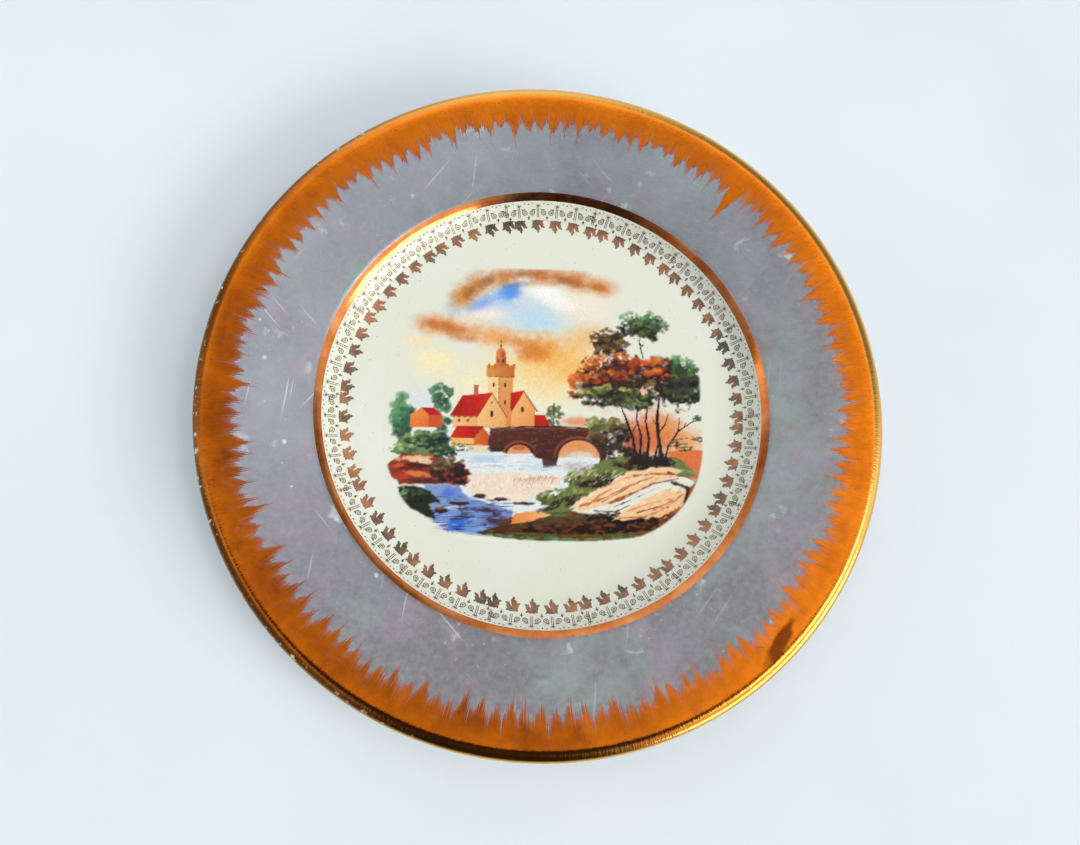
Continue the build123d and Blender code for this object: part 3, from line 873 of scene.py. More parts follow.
def paint_buildings(p):
    red, deep_red = (222, 46, 14), (172, 26, 8)
    wall, shade, orange = (246, 204, 142), (224, 150, 88), (232, 122, 48)
    line = (96, 40, 26)
    # small house on the left
    for shape in (
        ([(-54, -5.8), (-53.6, -0.6), (-49.6, 2.3), (-46.2, -0.6), (-46.2, -5.8)], orange, 1, 0.3, 0,
         ((248, 160, 92), 120)),
        ([(-46.4, -5.8), (-46.4, -0.6), (-41.2, -0.6), (-41.2, -5.6)], (214, 98, 40), 1, 0.3),
        ([(-49.8, 2.5), (-44.4, 2.3), (-40.8, -0.8), (-46.2, -0.8)], deep_red, 1, 0.3, 0, (red, 0)),
    ):
        p.shape(*shape)
    p.stroke([(-43.8, -1.2), (-43.8, -5.4)], 0.4, line, 0.5)
    # tower: shaft, battlement, drum, dome and finial
    for shape in (
        ([(-23, -5.4), (-23, 18), (-18.6, 18), (-18.6, -5.4)], wall, 1, 0.3, 0, ((252, 222, 160), 90)),
        ([(-18.6, -5.4), (-18.6, 18), (-12.8, 18), (-12.8, -5.4)], shade, 1, 0.3, 0, ((236, 172, 104), 90)),
        ([(-23.6, 15.4), (-23.6, 19.6), (-12.2, 19.8), (-12.2, 15.2)], (228, 160, 90), 1, 0.3, 0,
         ((206, 120, 60), 0)),
    ):
        p.shape(*shape)
    for place in (-23.1, -20.6, -18.2, -15.6, -13):
        p.shape(
            [(place, 18.6), (place, 20.3), (place + 1.0, 20.3), (place + 1.0, 18.6)], (206, 122, 64), 1,
            0.25,
        )
    p.stroke([(-23.4, 15.3), (-12.3, 15.1)], 0.45, line, 0.7)
    p.stroke([(-18.6, 15), (-18.6, -5)], 0.4, line, 0.5)
    p.shape(
        [(-20, 19.6), (-20, 23.2), (-15.6, 23.2), (-15.6, 19.6)], (222, 146, 82), 1, 0.3, 0,
        ((180, 92, 48), 0),
    )
    p.dab(-17.8, 24.4, 2.3, 2.5, (226, 140, 74), 1, 0.25)
    p.dab(-17.0, 23.9, 1.3, 1.9, (168, 76, 40), 0.7, 0.7)
    p.stroke([(-17.8, 26.4), (-17.8, 29.6)], 0.6, (120, 60, 36), 0.9, 0.5, 0.5)
    p.dab(-17.8, 27.4, 0.6, 0.6, (110, 50, 30), 1, 0.5)
    for cx, cy, rx, ry in (
        (-20.6, 12, 0.55, 1.1), (-16, 12, 0.55, 1.1), (-16, 5, 0.55, 1.1), (-18.9, 21.4, 0.35, 0.9),
        (-16.9, 21.4, 0.35, 0.9),
    ):
        p.dab(cx, cy, rx, ry, (70, 26, 20), 0.95, 0.4)
    # right house with its gable to the front
    p.shape(
        [(-13.6, -5.4), (-13.2, 1.8), (-8.6, 9.4), (-3.8, 2), (-3.8, -5.4)], (236, 160, 94), 1, 0.3, 0,
        ((250, 200, 140), 150),
    )
    p.shape(
        [(-13.8, 9.0), (-8.4, 10), (-8.9, 8.6), (-13.3, 1.2), (-13.9, 2.6)], red, 1, 0.3, 0,
        (deep_red, 250),
    )
    p.stroke([(-8.5, 9.8), (-3.0, 1.6)], 0.75, deep_red, 1, 0.4)
    p.dab(-9, 2.2, 0.75, 1.5, (84, 34, 24), 0.95, 0.4)
    p.shape([(-4, -5.2), (-4, 0.2), (0.2, 0.2), (2.6, -5.2)], deep_red, 1, 0.3, 0, (red, 60))
    # main house
    for shape in (
        ([(-36.8, -5.6), (-36.8, -0.4), (-27, -0.4), (-27, -5.6)], wall, 1, 0.3, 0, ((240, 180, 112), 0)),
        ([(-27, -5.6), (-27, -0.6), (-21.4, 8.6), (-15.6, -0.6), (-15.6, -5.6)], (238, 176, 112), 1, 0.3, 0,
         ((250, 210, 150), 160)),
        ([(-38.2, -0.9), (-33.2, 7.6), (-21.2, 8.9), (-27, -0.9)], red, 1, 0.3, 0, (deep_red, 200)),
    ):
        p.shape(*shape)
    p.stroke([(-27, -0.9), (-21.3, 8.8), (-15.2, -1.2)], 0.55, (150, 60, 34), 0.9, 0.4)
    p.stroke([(-38, -1.2), (-27, -1.1)], 0.4, line, 0.6)
    p.shape([(-28.6, 7.6), (-28.6, 11.6), (-26.8, 11.6), (-26.8, 7.8)], (206, 112, 62), 1, 0.25)
    p.stroke([(-28.7, 11.6), (-26.6, 11.6)], 0.5, line, 0.8)
    p.dab(-21.3, 0.2, 0.8, 1.6, (74, 30, 22), 0.95, 0.4)
    p.dab(-21.3, 4.8, 0.45, 0.7, (110, 50, 32), 0.9, 0.5)
    for cx in (-34.4, -30.8):
        p.dab(cx, -2.6, 0.7, 0.8, (110, 50, 32), 0.85, 0.5)
    # lower shed
    p.shape([(-37.4, -12.9), (-37.4, -9.3), (-28.3, -9.3), (-28.3, -12.9)], (240, 196, 128), 1, 0.3)
    p.stroke([(-37.2, -12.2), (-28.4, -12.4)], 0.6, (190, 90, 44), 0.8)
    p.shape(
        [(-28.3, -12.9), (-28.3, -9.9), (-24.8, -5.2), (-21.4, -9.6), (-21.4, -12.9)], orange, 1, 0.3, 0,
        ((206, 92, 34), 0),
    )
    p.shape([(-37.8, -9.7), (-35.2, -5), (-24.6, -4.9), (-28.5, -10)], red, 1, 0.3, 0, (deep_red, 0))
    p.stroke([(-28.4, -10), (-24.7, -5)], 0.45, (120, 30, 20), 0.8)
    for (x0, y0), (x1, y1) in (
        ((-35.5, 5), (-24.5, 5.6)), ((-37, 2), (-26, 2.4)), ((-36.4, -7), (-26, -6.9)),
    ):
        p.stroke([(x0, y0), (x1, y1)], 0.35, (236, 72, 44), 0.35)


def paint_bridge(p):
    stone, dark, warm = (112, 58, 40), (62, 28, 26), (158, 86, 54)
    p.shape(
        [(-22.6, -14.8), (-22, -6.2), (-8, -4.9), (6, -4.6), (22, -5.4), (26, -12), (24, -20), (4.8, -19.2),
         (-4, -17.6)], stone, 1, 0.4, 0.4, (dark, 290),
    )
    for _ in range(150):
        x, y = p.draw.uniform(-21, 22), p.draw.uniform(-15.5, -5.5)
        p.dab(
            x, y, p.draw.uniform(0.5, 1.1), 0.4, p.draw.choice([warm, dark, (134, 74, 50), (90, 44, 36)]),
            0.6, 0.6, 0.3,
        )
    p.stroke([(-22, -6), (-8, -4.8), (6, -4.5), (22, -5.3)], 0.75, (84, 40, 30), 0.9, 0.4)
    p.stroke([(-21, -7), (-8, -5.7), (6, -5.4), (21, -6.2)], 0.5, (186, 112, 72), 0.6)
    for cx, cy, rx, ry in ((-10.2, -15.6, 6.9, 5.3), (13.6, -17.0, 10.7, 9.1)):
        p.dab(cx, cy, rx, ry, (176, 96, 56), 0.8, 0.14)
        p.dab(cx + 0.3, cy - 0.3, rx - 0.7, ry - 0.7, dark, 0.95, 0.12)
    for cx, cy, rx, ry in ((-10.2, -16.2, 5.0, 4.0), (13.9, -17.4, 8.8, 7.6)):
        p.dab(cx, cy, rx, ry, (232, 170, 118), 1, 0.08)
    for dab in (
        (-10.2, -13.6, 4, 1.4, (206, 110, 62), 0.9, 0.6),
        (13.5, -12.6, 6.5, 2.4, (236, 160, 96), 0.9, 0.7, 0.2),
        (14.5, -16.2, 7.8, 2.4, (226, 220, 206), 0.9, 0.6, 0.2),
    ):
        p.dab(*dab)


def paint_water(p):
    pale = (232, 238, 238)
    p.shape(
        [(-39, -15.4), (-22, -15), (-15.4, -16), (-5, -15.8), (-4, -17.4), (5, -19), (6, -17), (22.5, -17),
         (21, -22), (9, -28), (3, -37), (-12, -42), (-16, -50), (-33, -48), (-43, -43), (-36, -30),
         (-29, -26)], pale, 1, 0.5, 0.4,
    )
    for dab in (
        (-24, -18.4, 10, 2.2, (176, 208, 228), 0.7, 0.8, 0.3),
        (-1, -21, 9, 2.6, (206, 224, 230), 0.8, 0.8, 0.3),
        (12, -21, 8, 3.2, (206, 190, 190), 0.85, 0.8, 0.3),
        (15.5, -22.5, 5.5, 2.2, (150, 104, 112), 0.75, 0.8, 0.4, 30),
    ):
        p.dab(*dab)
    p.shape([(-1, -17.6), (-0.6, -21.2), (4.8, -21), (5.1, -17.6)], (78, 44, 52), 0.9, 0.5, 0.3)
    for _ in range(60):
        x, y = p.draw.uniform(-34, 16), p.draw.uniform(-23, -16.5)
        tone = p.draw.choice([(196, 214, 226), (250, 250, 246), (178, 196, 214), (222, 206, 200)])
        p.dab(x, y, p.draw.uniform(1.2, 3.4), 0.3, tone, 0.55, 0.7, 0.2)
    # weir: cream water falling over a low wall
    p.shape(
        [(-32, -24), (-10, -23.8), (8, -25), (2, -32), (-10, -34.6), (-28, -33.5), (-31, -29)],
        (246, 226, 204), 0.95, 1.2, 0.6,
    )
    for _ in range(120):
        x, y = p.draw.uniform(-31, 4), p.draw.uniform(-30.5, -24.5)
        tone = p.draw.choice([
            (255, 252, 246), (226, 192, 166), (240, 212, 188), (255, 250, 240), (250, 238, 224),
        ])
        p.dab(x, y, 0.34, p.draw.uniform(0.8, 1.7), tone, 0.6, 0.7, 0.2, 12)
    for x in np.arange(-12, 5, 0.8):
        top, fall = -25.2 - 0.1 * abs(x) + p.draw.uniform(-0.5, 0.5), p.draw.uniform(1.6, 4.2)
        tone = p.draw.choice([(128, 84, 70), (176, 132, 112), (200, 166, 148)])
        p.stroke([(x, top), (x - 0.3 * fall, top - fall)], p.draw.uniform(0.9, 1.3), tone, 0.42, 0.9, 0.3)
    p.dab(-14, -33.5, 16, 2.6, (250, 232, 210), 0.85, 0.9, 0.4)
    # stream in front
    p.shape(
        [(-48, -28.6), (-34, -28.8), (-30, -34), (-13, -38.5), (-12, -44), (-22, -50), (-36, -48.5),
         (-44, -44), (-46, -34)], (110, 146, 208), 0.85, 1.4, 0.8,
    )
    for dab in (
        (-34, -45, 7, 4, (62, 116, 214), 0.9, 0.7, 0.4, 15),
        (-38, -32, 5, 3, (92, 126, 214), 0.85, 0.8, 0.4),
        (-19.5, -43.5, 7.5, 4.6, (86, 50, 74), 0.85, 0.8, 0.4, -12),
        (-37, -38, 6.5, 1.5, (226, 232, 244), 0.7, 0.8, 0.4),
        (-40, -45.5, 3, 1.8, (214, 228, 246), 0.7, 0.8, 0.4),
        (-25, -39, 10, 2.0, (70, 42, 62), 0.85, 0.8, 0.4, -4),
        (-31, -42, 7, 1.3, (60, 44, 80), 0.8, 0.8, 0.4),
    ):
        p.dab(*dab)
    for _ in range(150):
        x, y = p.draw.uniform(-44, -13), p.draw.uniform(-49, -33)
        tone = p.draw.choice([(60, 62, 130), (150, 176, 226), (52, 34, 52), (206, 216, 240), (74, 50, 84)])
        p.dab(x, y, p.draw.uniform(1.2, 3.2), 0.28, tone, 0.55, 0.7, 0.2)
    for cx, cy, rx, ry in (
        (-25.2, -33.0, 2.9, 1.2), (-17.2, -34.4, 3.4, 1.0), (-32.5, -36.2, 6.2, 1.1),
        (-40.5, -39.4, 3.6, 1.5), (-8, -36, 4, 1),
    ):
        p.dab(cx, cy, rx, ry, (64, 34, 34), 0.95, 0.5, 0.5)
        p.dab(cx - 0.4, cy + ry * 0.55, rx * 0.6, ry * 0.4, (178, 110, 80), 0.6, 0.7, 0.4)


def paint_left_bank(p):
    p.shape(
        [(-61, -16), (-57, -9.6), (-44, -7.6), (-38, -12), (-36.6, -16.4), (-44, -18.6), (-58, -17)],
        (112, 136, 84), 0.95, 0.9, 0.8,
    )
    leaf = [(28, 44, 38), (44, 70, 52), (78, 108, 70), (140, 166, 104)]
    for scatter in (
        (-47, -10.6, 9, 3.4, 120, 1.5, leaf, 0.6),
        (-56, -14.6, 5.5, 2.2, 40, 1.3, [(74, 110, 70), (120, 158, 96), (176, 196, 132)], 0.6),
        (-40.5, -15.5, 5, 3, 50, 1.3, leaf[:3], 0.6),
        (-33, -13.9, 4.6, 1.3, 26, 1.0, [(40, 72, 50), (86, 120, 70)], 0.6),
    ):
        p.scatter(*scatter)
    p.shape(
        [(-30.5, -13.2), (-26, -12.5), (-21, -14.2), (-23, -15.8), (-31, -15.2)], (236, 216, 182), 0.8, 0.5,
        0.4,
    )
    p.dab(-20, -14.2, 3.4, 1.5, (44, 52, 40), 0.9, 0.6, 0.4)
    # rocks
    p.shape(
        [(-63, -21.2), (-56, -16.4), (-44, -17.2), (-37, -21), (-30, -22.6), (-31, -28.8), (-57, -28.6),
         (-61, -25)], (150, 66, 40), 1, 0.6, 0.7,
    )
    for cx, cy, rx, ry, tone, tilt in (
        (-52, -18.3, 9, 1.4, (246, 216, 170), 4), (-47, -19.6, 6, 1.2, (250, 226, 186), -8),
        (-58, -21.3, 4.5, 1.1, (226, 104, 56), 10), (-53, -22.6, 7, 1.2, (118, 36, 26), 0),
        (-50, -24.6, 8, 1.4, (240, 140, 84), -6), (-57, -25.6, 4.5, 1.7, (206, 70, 40), 0),
        (-50, -21.2, 7, 0.9, (70, 26, 26), -4), (-46, -27.3, 9, 1.3, (84, 40, 36), 0),
        (-42.5, -23, 3.4, 1.3, (238, 196, 150), -20),
    ):
        p.dab(cx, cy, rx, ry, tone, 0.85, 0.6, 0.5, tilt)
    p.scatter(
        -37.6, -22.6, 7.5, 4.6, 110, 1.5, [(36, 22, 28), (56, 34, 34), (88, 58, 48), (126, 104, 66)], 0.6,
    )
    p.dab(-33, -27.6, 4.5, 1.6, (48, 26, 32), 0.9, 0.6, 0.4)
    p.shape(
        [(-58, -29.4), (-52, -29.0), (-45, -31.5), (-41, -35.6), (-45.4, -36.6), (-42.6, -43), (-48, -41),
         (-56, -36.4)], (46, 52, 42), 1, 0.7, 0.7,
    )
    p.scatter(-50.5, -33.6, 5.5, 3, 70, 1.3, [(30, 28, 30), (44, 52, 40), (74, 96, 60)], 0.6)
    p.scatter(-55.5, -33, 1.6, 3.4, 26, 1.0, [(78, 118, 70), (130, 166, 104)], 0.7)


def paint_right_bank(p):
    p.dab(56, -10, 15, 9, (240, 168, 96), 0.85, 0.8, 0.15)
    p.shape([(50, -14), (58, -13), (66.6, -13.8), (65.4, -27), (50, -22)], (226, 122, 52), 0.95, 1.0, 0.6)
    for dab in (
        (42, -8, 17, 14, (226, 128, 58), 0.95, 0.7, 0.15), (36, -11, 10, 10, (186, 92, 40), 0.8, 0.8, 0.2),
        (50, -3, 10, 8, (236, 158, 84), 0.7, 0.8, 0.2),
    ):
        p.dab(*dab)
    # bank of turf down to the water
    p.shape(
        [(23, -18), (34, -15), (55, -17), (62, -24), (50, -24), (30, -24), (20, -32), (10, -40),
         (-2, -40.6), (6, -32), (12, -25.6)], (122, 132, 80), 1, 0.8, 0.8,
    )
    turf = [(40, 34, 28), (70, 66, 44), (112, 122, 72), (164, 172, 112), (206, 204, 150)]
    for scatter in (
        (19, -25.5, 11, 3.6, 150, 1.4, turf, 0.5, 0.8, 38),
        (8, -33.5, 11, 3.8, 150, 1.4, turf[:4], 0.5, 0.8, 34),
        (40, -19, 13, 2.8, 110, 1.4, [(38, 24, 24), (66, 44, 34), (108, 96, 56)], 0.5),
    ):
        p.scatter(*scatter)
    # dark ground in front
    p.shape(
        [(-27, -48.6), (-12, -43.6), (-4, -41), (10, -39), (30, -42), (46, -40.5), (58, -30), (66.2, -20),
         (63, -33), (57, -42), (42, -49.6), (20, -52.2), (2, -52.2), (-14, -51.4)], (84, 48, 30), 1, 0.8,
        0.6, ((176, 96, 44), 20),
    )
    for scatter in (
        (16, -44.8, 34, 4.2, 330, 1.9,
         [(36, 24, 24), (52, 32, 28), (84, 54, 38), (120, 74, 46), (74, 84, 50)], 0.45),
        (30, -42, 14, 2.6, 90, 1.6, [(30, 20, 24), (52, 34, 30)], 0.5),
        (52, -39, 7, 4.5, 70, 1.6, [(60, 30, 26), (120, 60, 34), (196, 106, 52)], 0.6, 0.8, 50),
    ):
        p.scatter(*scatter)
    p.shape(
        [(-13.5, -44.8), (-11.6, -40), (-3, -39.2), (3, -41), (-3, -43), (-8, -44.4)], (236, 140, 66), 1,
        0.5, 0.5, ((250, 206, 150), 30),
    )
    p.dab(7, -40.8, 5.5, 1.3, (96, 138, 84), 0.85, 0.7, 0.4, 4)
    p.dab(1, -38.4, 5.5, 1.2, (60, 40, 32), 0.85, 0.7, 0.5, 10)
    # pale rocks
    rock = (250, 230, 200)
    for outline in (
        [(10, -37.8), (15, -33), (24, -28.6), (34, -22.6), (46, -20.6), (57, -21.4), (52, -25), (44, -27),
         (36, -31), (26, -35.6), (16, -38.8)],
        [(27, -43), (33, -38), (40, -33), (50, -29.6), (58, -30.6), (54.5, -37), (47, -41.5), (36, -42.4)],
    ):
        p.shape(outline, rock, 1, 0.7, 0.8, ((244, 196, 140), 300))
    for points, width, tone in (
        ([(14, -37), (24, -33.4), (34, -28.4), (44, -24.6)], 1.5, (206, 122, 66)),
        ([(26, -35.6), (36, -31.2), (44, -27.4), (54, -25.2)], 1.8, (176, 92, 50)),
        ([(28, -37), (38, -32.6), (46, -28.8)], 1.0, (92, 50, 36)),
        ([(20, -39), (28, -39.4), (34, -36.4)], 1.3, (72, 42, 34)),
        ([(33, -39), (42, -35.4), (51, -33.6)], 1.2, (226, 150, 92)),
        ([(30, -42), (40, -41.4), (47, -38.4), (54, -33)], 1.3, (196, 108, 60)),
        ([(23, -29.4), (33, -25), (44, -22.4)], 0.9, (226, 160, 104)),
        ([(52, -27), (58, -29), (56, -38), (50, -42)], 2.4, (64, 36, 36)),
        ([(50, -23), (58, -24.6), (62, -27)], 1.6, (104, 84, 54)),
        ([(56, -21.6), (62, -23.2)], 2.4, (128, 170, 112)),
        ([(17, -36.6), (22, -32.4), (27, -29.6)], 1.6, (214, 136, 78)),
        ([(36, -24.4), (44, -23.4), (53, -23.6)], 1.5, (190, 104, 56)),
        ([(44, -38), (50, -35), (56, -31.6)], 1.5, (214, 130, 72)),
        ([(23, -35), (31, -30.6), (38, -26.8)], 0.8, (96, 54, 38)),
        ([(37, -39.6), (45, -37), (50, -37.4)], 1.0, (84, 46, 36)),
    ):
        p.stroke(points, width, tone, 0.75, 0.8, 0.6, 0.5)
    for _ in range(90):
        x, y = p.draw.uniform(13, 55), p.draw.uniform(-42, -22)
        if y < -0.42 * x - 36.5 or y > -0.1 * x - 17:
            continue
        tone = p.draw.choice([(255, 244, 222), (232, 176, 122), (212, 140, 86), (255, 250, 236)])
        p.dab(x, y, p.draw.uniform(0.8, 2.2), 0.45, tone, 0.5, 0.8, 0.5, 32)
    # fringe of grass along the foot of the picture
    for x in np.arange(-22, 44, 1.15):
        foot = -52.0 + ((x - 10) / 42) ** 2 * 3.2
        p.dab(
            x, foot + 0.7, 1.6, 1.0, p.draw.choice([(96, 140, 84), (124, 164, 104), (70, 104, 62)]), 0.75,
            0.8, 0.6,
        )
        if p.draw.random() < 0.5:
            p.dab(x, foot + 2.2, 2.2, 0.7, (92, 118, 66), 0.6, 0.8, 0.5)


def paint_bush(p):
    for scatter in (
        (26, -7.2, 8.4, 6.6, 190, 1.6,
         [(34, 22, 22), (60, 38, 30), (96, 64, 44), (128, 110, 66), (150, 146, 90)], 0.7),
        (20.5, -3.4, 4, 3, 40, 1.3, [(96, 104, 60), (140, 154, 92)], 0.7),
        (29, -14.5, 7, 3, 60, 1.4, [(36, 24, 24), (62, 42, 32), (90, 66, 44)], 0.6),
    ):
        p.scatter(*scatter)
    p.stroke([(31, -15), (32, -11), (33.6, -8)], 0.5, (196, 140, 96), 0.6)
    p.stroke([(32, -11), (30, -8)], 0.4, (196, 140, 96), 0.5)


def paint_trees(p):
    bark = (44, 24, 26)
    p.dab(35, 13, 27, 15, (236, 156, 84), 0.75, 0.9, 0.3)
    p.dab(40, 35, 9, 6, (226, 214, 170), 0.6, 0.9, 0.3)
    for points, width in (
        ([(37, -18.5), (36, -9), (33.4, -1), (31, 5)], 1.9),
        ([(38.6, -18.5), (39.4, -8), (37.6, -1), (38.6, 6)], 1.5),
        ([(41.4, -18.5), (42.6, -9), (41.4, -2), (42.4, 6)], 1.7),
        ([(47.8, -19), (46.4, -8), (46.2, 0), (47.4, 8)], 2.3), ([(44.4, -18.5), (46, -12)], 1.6),
        ([(46.4, -7), (49.4, -3), (51, 2)], 0.9), ([(46.2, -4), (43.8, 0)], 0.7),
        ([(36, -6), (38.4, -2)], 0.7), ([(41, 24), (39.6, 30), (40.4, 34)], 1.0),
        ([(40.5, 29), (38, 33)], 0.6), ([(40.4, 28), (43, 32)], 0.6),
        ([(48.6, -18.5), (50.4, -12), (54.6, -6), (60, -2.2), (63.4, -0.8)], 1.2),
        ([(54.6, -6), (55.4, -1), (54.8, 2.6)], 0.6), ([(52, -9.6), (58, -8.6), (62.6, -9.2)], 0.6),
        ([(50.6, -12), (55, -11.8)], 0.6), ([(57, -4.4), (59.4, 1)], 0.5),
    ):
        p.stroke(points, width, bark, 0.95, 0.35, 0.45, 0.2)
    for cx, width in ((37, 3.4), (41, 3.2), (47.4, 4.2)):
        p.shape(
            [(cx - width, -20), (cx - 0.8, -14.5), (cx + 0.8, -14.5), (cx + width, -20)], bark, 0.9, 0.5,
            0.4,
        )
    for points in ([(36.5, -16), (35.6, -9)], [(47.2, -16), (46, -6)], [(41.4, -15), (42, -8)]):
        p.stroke(points, 0.45, (150, 86, 62), 0.6)
    for cx, cy, rx, ry in (
        (63.2, -0.2, 2.6, 1.3), (62.6, -9, 2.6, 1.0), (57, -12.4, 3.6, 1.7), (53, -11, 2.4, 1.2),
    ):
        p.scatter(cx, cy, rx, ry, 22, 0.9, [(38, 44, 40), (66, 80, 58), (112, 126, 86)], 0.5)
    pale_green = [(52, 78, 50), (88, 130, 84), (130, 174, 120)]
    green = [(30, 22, 18), (46, 46, 28), (78, 92, 46), (120, 144, 76)]
    olive = [(38, 26, 18), (72, 68, 34), (122, 130, 64), (184, 192, 116)]
    brown = [(40, 24, 20), (76, 48, 32), (118, 86, 50), (150, 128, 80)]
    autumn = [(52, 24, 14), (104, 44, 18), (170, 76, 24), (214, 104, 30), (238, 144, 60)]
    # each crown: a dark mass first, then clumps of leaves lit from the upper left
    for mass, clumps in (
        ((41, 37, 10, 5.6, (66, 78, 50)),
         [(33.5, 36.5, 4, 2.2, green), (36.5, 39.4, 5.2, 2.8, pale_green), (43, 40.2, 5.6, 2.8, pale_green),
          (47, 36.6, 4.6, 2.4, pale_green), (40, 36, 5, 2.4, green), (44, 33.4, 4, 1.8, green)]),
        ((27, 29, 7.4, 6, (44, 28, 24)),
         [(23.5, 31.6, 4.2, 3, brown), (29, 32, 4.6, 2.8, brown), (31.6, 28.6, 4, 3, brown),
          (25, 26.8, 5, 2.8, brown)]),
        ((55, 14, 11.4, 10.6, (34, 30, 22)),
         [(61.5, 19, 3.4, 4.4, pale_green), (63, 12.4, 2.6, 4, pale_green), (50, 21.4, 4.6, 3.2, green),
          (56.6, 21.6, 5, 3.4, pale_green), (59, 15.8, 5, 3.6, green), (52.6, 15, 5.6, 3.4, green),
          (60, 9.4, 4.8, 2.8, green), (53.4, 8.6, 5.6, 2.8, green), (47.6, 10, 4.2, 3, green)]),
        ((30, 15.6, 16, 9.6, (48, 28, 20)),
         [(20.5, 19.6, 6, 3.6, autumn), (28.4, 23, 7, 3.8, autumn), (36, 20.8, 5.4, 3.6, autumn),
          (15, 13.8, 5.4, 3.4, autumn), (23.6, 15.2, 6.4, 3.6, autumn), (31.6, 16.4, 6, 3.4, autumn),
          (38, 14, 4.4, 3, brown), (12.6, 9.6, 4, 2.4, autumn)]),
        ((46.4, 17.6, 6.2, 6.6, (60, 30, 22)),
         [(44, 21.6, 4, 2.8, autumn), (48.6, 20.6, 4, 3, autumn), (46, 16.6, 5.4, 3.2, autumn),
          (45, 12.4, 4.4, 2.2, brown)]),
        ((31, 8, 15, 3.6, (46, 32, 22)),
         [(18.4, 9.4, 5, 2.4, olive), (26, 10.2, 6, 2.6, olive), (33.4, 9.4, 5.4, 2.4, olive),
          (22, 6.2, 6.4, 1.9, green), (31, 5.8, 7, 2, green), (40.6, 7.4, 6, 2.6, green),
          (38, 4.6, 6, 1.6, green)]),
    ):
        p.dab(*mass, 0.95, 0.28, 0.45)
        for cx, cy, rx, ry, palette in clumps:
            p.dab(cx + 0.6, cy - 0.5 * ry, rx, ry * 0.75, palette[0], 0.6, 0.8, 0.5)
            p.scatter(cx, cy, rx, ry, round(rx * ry * 1.7), 1.75, palette, 0.62, 0.72)


def inside_border(x, y):
    """How far a point lies within the print's rounded outline."""
    dx = np.abs(x - PICTURE_CENTRE[0]) - (PICTURE_HALF[0] - PICTURE_CORNER)
    dy = np.abs(y - PICTURE_CENTRE[1]) - (PICTURE_HALF[1] - PICTURE_CORNER)
    outside = np.hypot(np.maximum(dx, 0), np.maximum(dy, 0)) + np.minimum(np.maximum(dx, dy), 0)
    return PICTURE_CORNER - outside


def make_picture(made):
    """A fine flat sheet within the print's outline, with the colours stored at its corners."""
    (cx, cy), (half_x, half_y) = PICTURE_CENTRE, PICTURE_HALF
    gx, gy = np.meshgrid(
        np.arange(cx - half_x, cx + half_x, PICTURE_STEP), np.arange(cy - half_y, cy + half_y, PICTURE_STEP)
    )
    within = inside_border(gx, gy) > 0
    cells = within[:-1, :-1] & within[1:, :-1] & within[:-1, 1:] & within[1:, 1:]
    used = np.zeros_like(within)
    for rows in (slice(None, -1), slice(1, None)):
        for cols in (slice(None, -1), slice(1, None)):
            used[rows, cols] |= cells
    index = np.full(within.shape, -1)
    index[used] = np.arange(used.sum())
    corners = np.stack([index[:-1, :-1], index[:-1, 1:], index[1:, 1:], index[1:, :-1]], axis=-1)[cells]
    x, y = gx[used], gy[used]
    top = (FLOOR_HEIGHT + PICTURE_LIFT) * MM
    verts = np.stack([x * MM, y * MM, np.full(len(x), top)], axis=1)
    piece = new_piece("landscape", verts.tolist(), corners.tolist())
    picture = Picture(x, y + np.interp(y, *PICTURE_DROP))
    for paint in (
        paint_sky, paint_far_bank, paint_buildings, paint_bridge, paint_water, paint_left_bank,
        paint_right_bank, paint_bush, paint_trees,
    ):
        paint(picture)
    tone = picture.colour
    linear = np.where(tone <= 0.04045, tone / 12.92, ((tone + 0.055) / 1.055) ** 2.4)
    linear = linear ** TONE_POWER * TONE_GAIN
    store(piece.data, "paint", "FLOAT_COLOR", np.concatenate([linear, np.ones((len(x), 1))], axis=1))
    store(piece.data, "cover", "FLOAT", picture.cover * smooth(inside_border(x, y) / 1.2))
    piece.data.materials.append(made)
    return piece


# ---- Stage: floor, light and camera ----
FLOOR_HALF = 9.0
CLOTH = (0.80, 0.87, 0.94)
CLOTH_LIGHT = (0.86, 0.92, 0.97)


def make_floor():
    """A plain pale floor under the plate."""
    corners = [(x * FLOOR_HALF, y * FLOOR_HALF, 0) for x, y in ((-1, -1), (1, -1), (1, 1), (-1, 1))]
    floor = new_piece("floor", corners, [(0, 1, 2, 3)])
    made, n, shader = material("pale_cloth")
    place = n.place()
    tone = n.span(n.noise(place, 6.0, 3.0), 0.3, 0.7)
    n.put(shader.inputs["Base Color"], n.mix(tone, CLOTH, CLOTH_LIGHT))
    shader.inputs["Roughness"].default_value = 0.9
    floor.data.materials.append(made)


# soft windows: heading and height in degrees, half width and half height, brightness
WINDOWS = [(-36.0, 26.0, 0.36, 0.15, 6.0), (-16.0, 57.0, 0.19, 0.10, 4.5)]
WINDOW_CORE = 0.85
# brightness of the room's sides by heading in degrees; the ramp's own white end also stays in at 180,
# so between 148 and 180 the side runs up to white
SIDES = [
    (-180, 0.24), (-135, 0.26), (-112, 0.03), (-74, 0.03), (-52, 0.9), (0, 0.9), (24, 0.18), (58, 0.18),
    (84, 0.75), (120, 0.75), (148, 0.24), (180, 0.24),
]
HORIZON = (0.60, 0.63, 0.68)
CEILING = (1.0, 1.04, 1.1)
CEILING_SHADE = (0.05, 0.045, 0.04)
WORLD_STRENGTH = 1.38


